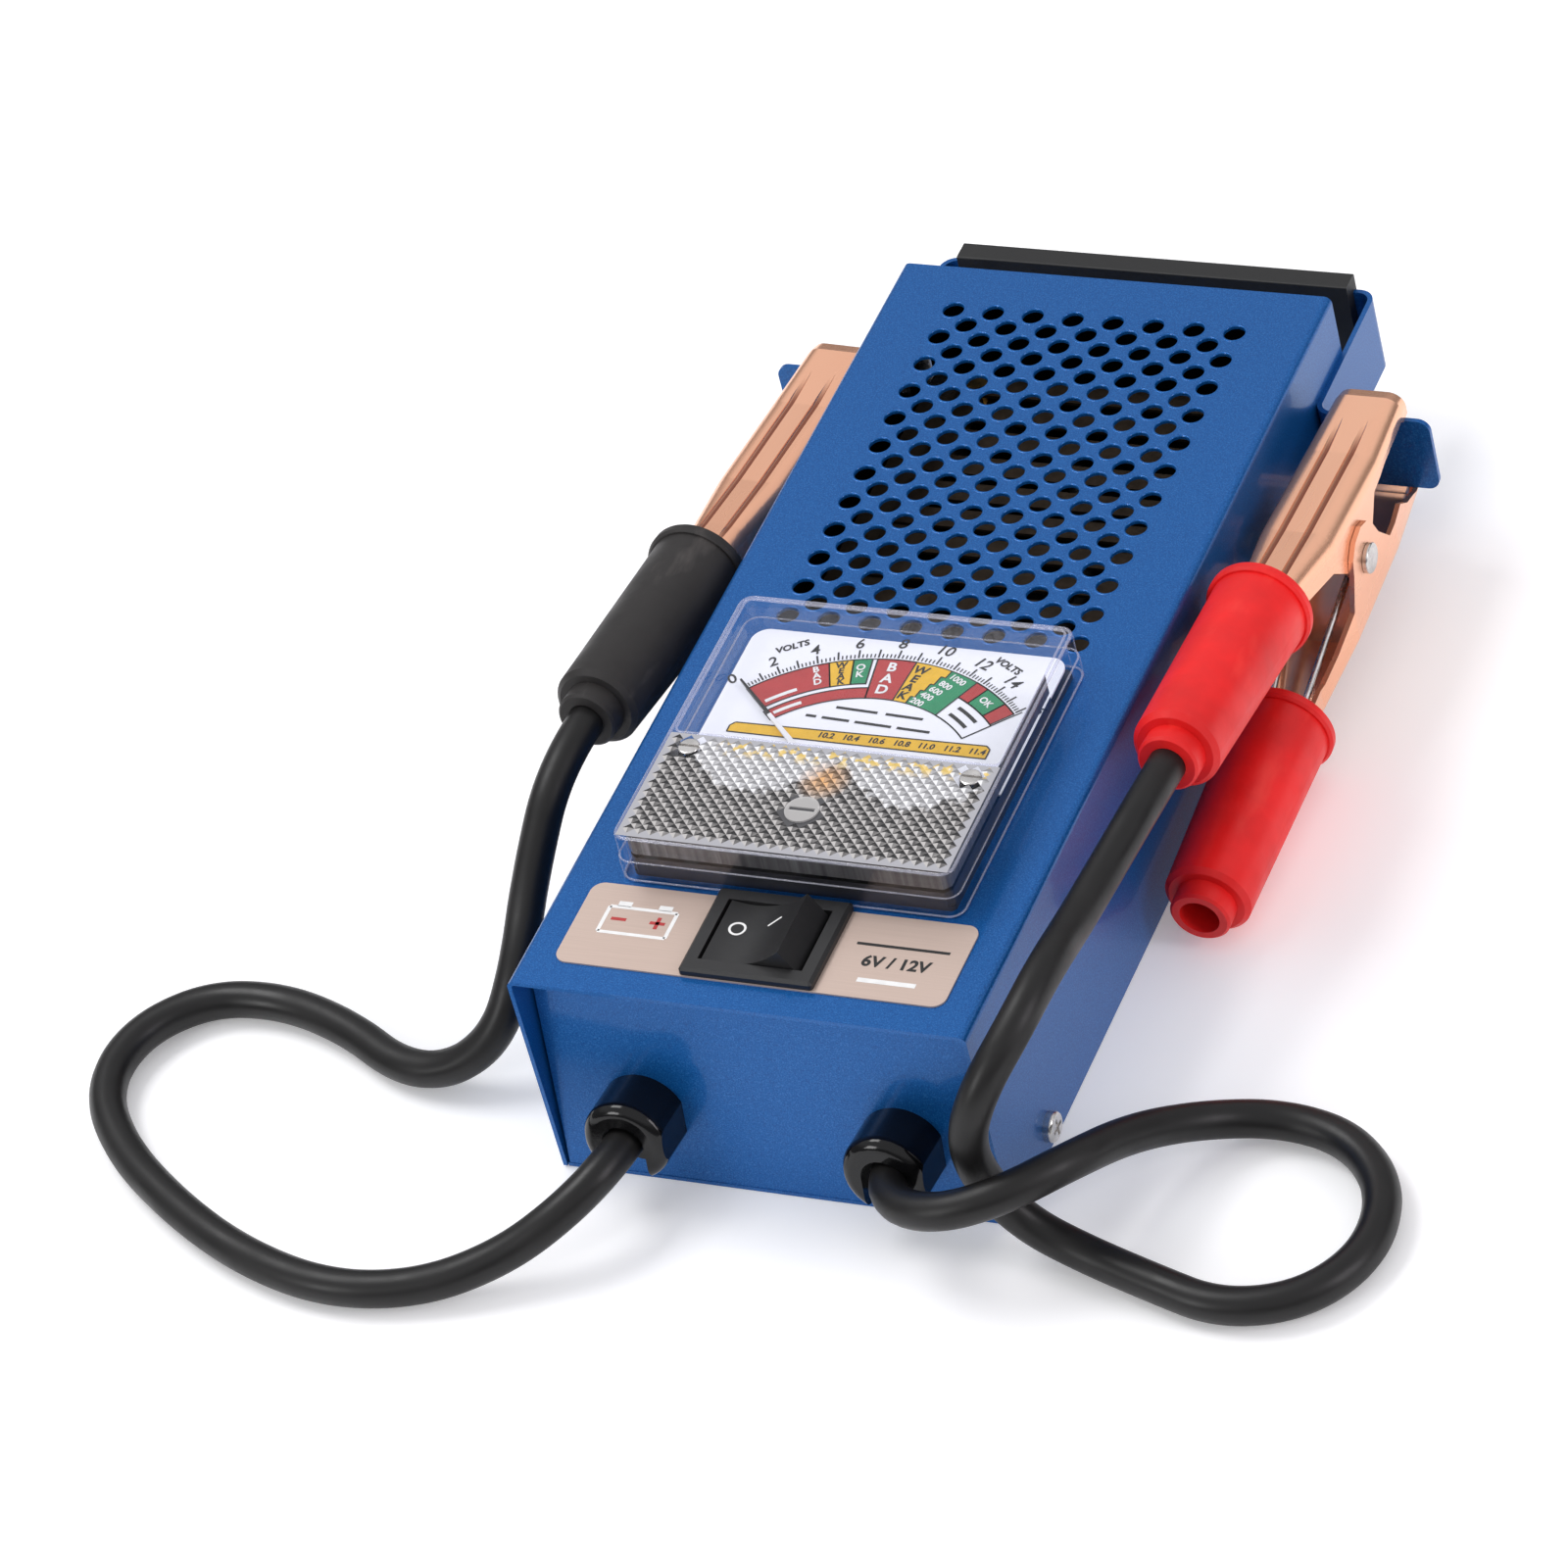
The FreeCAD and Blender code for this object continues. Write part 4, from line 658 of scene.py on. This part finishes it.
def dial_letters(inks):
    """The dial's numbers and its short words."""
    numbers = [(str(volts), *polar(48.9, turn), turn, 4.3) for volts, turn in NUMBER_TURN.items()]
    lettering("dial_numbers", numbers, DIAL_TOP + 0.09, inks["black"], weight=0.012, slant=0.15)

    words = [("VOLTS", *polar(52.0, -31.2), -31.2, 2.6), ("VOLTS", *polar(51.6, 28.4), 28.4, 2.6)]
    words += stacked("WEAK", (42.4, 40.5, 38.7, 36.9), [-18.5] * 4, 2.5)
    words += stacked("WEAK", (41.5, 38.6, 35.8, 33.0), (7.3, 7.2, 7.0, 6.9), 3.3)
    strip_words = (("10.2", -8.5), ("10.4", -2.6), ("10.6", 3.5), ("10.8", 9.5), ("11.0", 15.3),
                   ("11.2", 21.4), ("11.4", 27.3))
    words += [(text, x, -48.7, 0.0, 2.3) for text, x in strip_words]
    lettering("dial_words", words, DIAL_TOP + 0.09, inks["black"], weight=0.035, slant=0.12)

    white = stacked("BAD", (42.3, 40.2, 38.1), [-26.2] * 3, 2.6)
    white += stacked("OK", (41.1, 38.8), [-12.2] * 2, 2.7)
    white += stacked("BAD", (41.2, 37.5, 33.9), [-2.2] * 3, 3.9)
    white.append(("OK", *polar(40.9, 35.3), 35.3, 2.5))
    loads = ((1000, 42.0, 20.6), (800, 39.3, 18.8), (600, 36.9, 17.5), (400, 34.6, 16.2), (200, 32.2, 14.6))
    white += [(str(number), *polar(r, t), t + 8, 2.3) for number, r, t in loads]
    lettering("dial_white_words", white, DIAL_TOP + 0.12, inks["white"], weight=0.03)


FIELD = (-38.1, 38.1, -93.0, -61.2)             # left, right, front and rear of the pyramids
BORDER = (-38.9, 38.9, -93.9, -60.8)            # the same of the flat strip round them
PYRAMID_PITCH, PYRAMID_RISE = 2.73, 0.34
FIELD_TOP = METER_TOP + 0.03
KNOB_FLAT, SCREW_GAP = 4.4, 3.4                 # radii left flat or open
SLACK = 0.01


def rectangle(x0, x1, y0, y1):
    """Corners of an upright rectangle."""
    return [(x0, y0), (x1, y0), (x1, y1), (x0, y1)]


def pyramid_plate(finish):
    """Lower half of the meter's face: a field of small square pyramids set cornerwise."""
    x0, x1, y0, y1 = FIELD
    columns, rows = int((x1 - x0) / PYRAMID_PITCH), int((y1 - y0) / PYRAMID_PITCH)
    half_x, half_y = (x1 - x0) / columns / 2, (y1 - y0) / rows / 2
    bm = bmesh.new()
    corners = {}

    def vertex(x, y, z):
        key = (round(x, 3), round(y, 3))
        if key not in corners:
            corners[key] = bm.verts.new(Vector((x, y, z)) * MM)
        return corners[key]

    def on_field(x, y):
        return x0 - SLACK <= x <= x1 + SLACK and y0 - SLACK <= y <= y1 + SLACK

    for row in range(2 * rows + 1):
        for column in range(2 * columns + 1):
            x, y = x0 + column * half_x, y0 + row * half_y
            screw = math.hypot(abs(x) - METER_SCREW[0], y - METER_SCREW[1]) < SCREW_GAP
            if (row + column) % 2 or screw:
                continue
            rim = row in (0, 2 * rows) or column in (0, 2 * columns)
            knob = math.hypot(x, y - ADJUSTER_Y) < KNOB_FLAT
            peak = vertex(x, y, FIELD_TOP if rim or knob else FIELD_TOP + PYRAMID_RISE)
            around = [(x - half_x, y), (x, y - half_y), (x + half_x, y), (x, y + half_y)]
            ring = [corner for corner in around if on_field(*corner)]
            sides = list(zip(ring, ring[1:] + ring[:1]))
            for a, b in sides if len(ring) > 2 else sides[:1]:
                if abs(a[0] - b[0]) <= half_x + SLACK and abs(a[1] - b[1]) <= half_y + SLACK:
                    bm.faces.new((peak, vertex(*a, FIELD_TOP), vertex(*b, FIELD_TOP)))
    outer, inner = [[bm.verts.new(Vector((*corner, FIELD_TOP)) * MM) for corner in rectangle(*limits)]
                    for limits in (BORDER, FIELD)]
    for i in range(4):
        j = (i + 1) % 4
        bm.faces.new((outer[i], outer[j], inner[j], inner[i]))
    bmesh.ops.recalc_face_normals(bm, faces=bm.faces)
    for face in bm.faces:
        if face.normal.z < 0:
            face.normal_flip()
    mesh = bpy.data.meshes.new("facet_plate")
    bm.to_mesh(mesh)
    bm.free()
    add_mesh("facet_plate", mesh, finish, ROOT)


def rounded_loop(x0, x1, y0, y1, radius, z):
    """Points round a rectangle with rounded corners."""
    points = []
    steps = 6
    corners = ((x1 - radius, y1 - radius, 0), (x0 + radius, y1 - radius, 90),
               (x0 + radius, y0 + radius, 180), (x1 - radius, y0 + radius, 270))
    for cx, cy, start in corners:
        for i in range(steps + 1):
            turn = math.radians(start + 90 * i / steps)
            points.append((cx + radius * math.cos(turn), cy + radius * math.sin(turn), z))
    return points


def bead(name, points, width, finish):
    """Thin strip of painted highlight along a closed line of points in millimetres."""
    curve = bpy.data.curves.new(name, "CURVE")
    curve.dimensions = "3D"
    spline = curve.splines.new("POLY")
    spline.points.add(len(points) - 1)
    for point, place in zip(spline.points, points):
        point.co = (*(c * MM for c in place), 1)
    spline.use_cyclic_u = True
    curve.bevel_depth = width * MM / 2
    curve.bevel_resolution = 3
    curve.materials.append(finish.material)
    obj = bpy.data.objects.new(name, curve)
    bpy.context.scene.collection.objects.link(obj)
    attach(obj, ROOT)


def meter_edges(finish):
    """Painted highlights along the clear cover's edges: name, inset, front, corner radius, height and width.
    """
    front, rear = METER_Y - METER_HALF, METER_Y + METER_HALF
    edges = (("cover_top_edge_highlight", 0.5, front + 0.5, 2.8, METER_TOP - 0.40, 0.7),
             ("cover_window_edge_highlight", 1.6, WINDOW_Y, 1.6, METER_TOP - 0.05, 0.55),
             ("cover_skirt_edge_highlight", -0.1, front - 0.1, 3.3, 62.4, 0.4),
             ("cover_foot_edge_highlight", -0.05, front - 0.05, 3.3, 57.0, 0.5))
    for name, inset, start, radius, z, width in edges:
        half = METER_HALF - inset
        bead(name, rounded_loop(-half, half, start, rear - inset, radius, z), width, finish)


BAND_LINE = ((-37.9, -60), (-37.9, -91.5), (-36.4, -92.9), (36.4, -92.9), (37.9, -91.5), (37.9, -30))
WALL_BAND, SKIRT_BAND = (62.9, 68.4), (57.2, 61.9)


def wall_bands(wall, skirt):
    """Dark interior seen through the lower walls of the meter's cover."""
    count = len(BAND_LINE)
    for name, heights, finish in (("meter_wall_band", WALL_BAND, wall),
                                  ("meter_skirt_band", SKIRT_BAND, skirt)):
        verts = [Vector((x, y, z)) * MM for z in heights for x, y in BAND_LINE]
        faces = [(i, i + 1, count + i + 1, count + i) for i in range(count - 1)]
        mesh = bpy.data.meshes.new(name)
        mesh.from_pydata(verts, [], faces)
        add_mesh(name, mesh, finish, ROOT)


# ---------------------------------------------------------------- vents, label and switch
VENT_ROWS, VENT_FIRST_Y = 23, 100.8             # millimetres
VENT_PITCH_X, VENT_PITCH_Y = 10.0, 4.9
VENT_LIP = ((2.52, 56.2), (2.6, 56.48), (2.75, 56.58), (2.95, 56.58), (3.15, 56.505))  # radius, height
LABEL_PRINT_TOP = 56.93
SYMBOL_X, SYMBOL_Y = -31.0, -107.0
OFF_MARK, ON_MARK = (-7.2, -106.9), (1.0, -104.7)
MARK_REACH, MARK_SLANT, MARK_WIDTH = 1.7, math.radians(40), 0.55
PRINT_LIFT, ABOVE_ALL = 0.08, 200


def vent_places():
    """Middles of the vent holes in staggered rows, less those under the meter."""
    places = []
    for row in range(VENT_ROWS):
        y = VENT_FIRST_Y - row * VENT_PITCH_Y
        count = 8 if row % 2 == 0 else 7
        for i in range(count):
            x = (i - (count - 1) / 2) * VENT_PITCH_X
            if y >= METER_Y + METER_HALF + 0.5 or abs(x) >= METER_HALF + 2:
                places.append((x, y))
    return places


def vent_rims(finish):
    """Rolled lip round each ventilation hole."""
    steps = 24
    circle = [(math.cos(2 * math.pi * i / steps), math.sin(2 * math.pi * i / steps)) for i in range(steps)]
    bm = bmesh.new()
    for cx, cy in vent_places():
        rings = [[bm.verts.new(Vector((cx + radius * c, cy + radius * s, z)) * MM) for c, s in circle]
                 for radius, z in VENT_LIP]
        for a, b in zip(rings, rings[1:]):
            for i in range(steps):
                j = (i + 1) % steps
                bm.faces.new((a[i], b[i], b[j], a[j]))
    for face in bm.faces:
        face.smooth = True
    mesh = bpy.data.meshes.new("vent_rims")
    bm.to_mesh(mesh)
    bm.free()
    add_mesh("vent_rims", mesh, finish, ROOT)


def ring_outline(cx, cy, radius, width):
    """Strips that make a ring."""
    steps = 28
    turns = [2 * math.pi * i / steps for i in range(steps + 1)]
    outer, inner = [[(cx + r * math.cos(t), cy + r * math.sin(t)) for t in turns]
                    for r in (radius, radius - width)]
    return [[outer[i], outer[i + 1], inner[i + 1], inner[i]] for i in range(steps)]


def draped(name, outlines, node, finish, body):
    """Printed shapes laid down on a node's surface from straight above, in millimetres."""
    obj = NODES[node]
    inverse = obj.matrix_world.inverted()
    down = (inverse.to_3x3() @ Vector((0, 0, -1))).normalized()
    verts, faces = [], []
    for outline in outlines:
        faces.append(tuple(range(len(verts), len(verts) + len(outline))))
        for x, y in outline:
            _, place, _, _ = obj.ray_cast(inverse @ (Vector((x, y, ABOVE_ALL)) * MM), down)
            verts.append(obj.matrix_world @ place + Vector((0, 0, PRINT_LIFT * MM)))
    mesh = bpy.data.meshes.new(name)
    mesh.from_pydata(verts, [], faces)
    mesh.update()
    add_mesh(name, mesh, finish, body)


def switch_marks(ink):
    """Ring and dash printed on the rocker."""
    slant = Vector((math.cos(MARK_SLANT), math.sin(MARK_SLANT)))
    ends = [tuple(Vector(ON_MARK) + slant * reach) for reach in (-MARK_REACH, MARK_REACH)]
    draped("switch_off_mark", ring_outline(*OFF_MARK, 2.0, MARK_WIDTH), "switch_rocker", ink, "rocker")
    draped("switch_on_mark", [stroke(*ends, MARK_WIDTH)], "switch_rocker", ink, "rocker")


def label_print(inks):
    """Plain battery symbol on the left and the two test voltages on the right."""
    cx, cy, thick = SYMBOL_X, SYMBOL_Y, 0.9
    case = rectangle(cx - 8, cx + 8, cy - 4.2, cy + 3.6)
    symbol = [stroke(a, b, thick) for a, b in zip(case, case[1:] + case[:1])]
    symbol += [rectangle(cx + x - 1.6, cx + x + 1.6, cy + 3.9, cy + 5.4) for x in (-4.8, 4.8)]
    signs = [stroke((cx - 6.4, cy), (cx - 2.8, cy), thick), stroke((cx + 2.8, cy), (cx + 6.4, cy), thick),
             stroke((cx + 4.6, cy - 1.8), (cx + 4.6, cy + 1.8), thick)]
    line, low_line = stroke((20.0, -105.6), (41.5, -105.6), 0.8), stroke((24.0, -116.2), (37.5, -116.2), 1.3)
    voltage = ("6V / 12V", 30.8, -110.6, 0.0, 4.4)
    flat_pieces("label_symbol", symbol, LABEL_PRINT_TOP, inks["white"])
    flat_pieces("label_signs", signs, LABEL_PRINT_TOP, inks["red"])
    lettering("label_voltage", [voltage], LABEL_PRINT_TOP, inks["black"], weight=0.035)
    flat_pieces("label_line", [line], LABEL_PRINT_TOP, inks["black"])
    flat_pieces("label_line_low", [low_line], LABEL_PRINT_TOP, inks["white"])


# ---------------------------------------------------------------- making
def make_inks():
    """Printing colours of the dial, the label and the switch."""
    return {
        "red": plastic("ink_red", (0.48, 0.035, 0.035), 0.5, slot="dial_white"),
        "yellow": plastic("ink_yellow", (0.86, 0.50, 0.02), 0.5, slot="dial_white"),
        "green": plastic("ink_green", (0.01, 0.27, 0.11), 0.5, slot="dial_white"),
        "black": plastic("ink_black", (0.012, 0.012, 0.012), 0.5, slot="needle_black"),
        "white": plastic("ink_white", (0.88, 0.88, 0.87), 0.5, slot="dial_white"),
    }


def dress_case(paint):
    """Painted sheet metal and what is fitted in it."""
    dress(paint, "top_cover", "base_tray", "carry_strap")
    dress(plastic("grip_rubber", (0.012, 0.012, 0.012), 0.55, slot="black_rubber"), "strap_grip")
    dress(gloss_black(), *both("cord_bush"))
    dress(brushed_label(), "label_plate")
    dress(plastic("black_plastic", (0.013, 0.013, 0.014), 0.42), "switch_rocker", "switch_housing")


def dress_clamps():
    """Copper jaws with a red pair of sleeves on the right and a black pair on the left."""
    dress(copper_plate(), *both("upper_jaw", "lower_jaw"))
    red = rubber("red_rubber", (0.86, 0.012, 0.012), 0.42, (0.92, 0.07, 0.05), "red_rubber")
    dress(red, "upper_boot_right", "lower_boot_right")
    black = rubber("black_rubber", (0.025, 0.0225, 0.0220), 0.50, (0.150, 0.134, 0.126), "black_rubber")
    dress(black, "upper_boot_left", "lower_boot_left")


def dress_meter():
    """Clear cover and knob, black housing, white dial and the needle."""
    clear = Finish("clear_cover", (0.92, 0.94, 0.96), 0.04)
    dress(clear.see_through((0.985, 0.988, 1.0), (0.85, 0.86, 0.95), 0.0, 0.5), "meter_cover")
    frost = Finish("clear_knob", (0.9, 0.9, 0.92), 0.1, slot="clear_cover")
    dress(frost.see_through((0.9, 0.9, 0.92), (0.86, 0.84, 0.82), 0.45, 0.9), "zero_adjuster")
    dress(plastic("meter_black", (0.02, 0.02, 0.022), 0.45), "meter_housing")
    dress(dial_paper(), "dial_plate")
    dress(needle_paint(), "meter_needle")


def dress_metals():
    """Fasteners, springs, terminals and the works."""
    dress(metal("zinc_steel", (0.78, 0.76, 0.74), 0.18), "case_screws", "strap_rivets", "meter_studs",
          "meter_screws", *both("clamp_rivet"))
    dress(metal("spring_steel", (0.80, 0.78, 0.77), 0.20), *both("clamp_spring"), "switch_spring")
    dress(metal("brass", (0.75, 0.52, 0.22), 0.25), "switch_terminals", "load_terminals")
    dress(metal("coil_copper", (0.80, 0.32, 0.12), 0.3), "meter_coil")
    dress(metal("bronze", (0.60, 0.38, 0.20), 0.3), "hairspring", *both("lead_crimp"))
    dress(metal("plain_steel", (0.42, 0.42, 0.43), 0.35), "meter_yoke", "meter_core", "meter_bridge",
          "needle_staff", "load_standoffs")
    # The ribbon's metal colour is darkened as painted shade inside the closed case.
    dress(metal("resistance_alloy", (0.10, 0.075, 0.055), 0.55), "load_ribbon")


def dress_inside():
    """Boards and wires inside the case, the ribbon and the board darkened as painted shade."""
    # The board's own brown is darkened as painted shade inside the closed case.
    dress(plastic("fibre_board", (0.05, 0.035, 0.02), 0.7), "load_insulators")
    dress(plastic("inner_wire", (0.02, 0.02, 0.02), 0.4), "load_wire", "meter_wires", *both("inner_lead"))


make_camera()
CABLE = cable_rubber()
make_lead("left", LEFT_ROUTE, CABLE)
make_lead("right", RIGHT_ROUTE, CABLE)
make_light()
make_floor()

PAINT = blue_paint()
dress_case(PAINT)
dress_clamps()
dress_meter()
dress_metals()
dress_inside()

INKS = make_inks()
dial_print(INKS)
dial_letters(INKS)
pyramid_plate(faceted_plastic())
# Hazy clear finish of the painted highlights along the meter cover's edges.
EDGE_HIGHLIGHT = Finish("clear_edge_highlight", (0.8, 0.8, 0.9), 0.1, slot="clear_cover")
meter_edges(EDGE_HIGHLIGHT.see_through((0.90, 0.91, 0.97), (0.92, 0.92, 1.0), 0.16, 0.9))
wall_bands(brushed_dark(), plastic("skirt_dark", (0.03, 0.03, 0.035), 0.4, slot="meter_black"))
vent_rims(PAINT)
switch_marks(INKS["white"])
label_print(INKS)
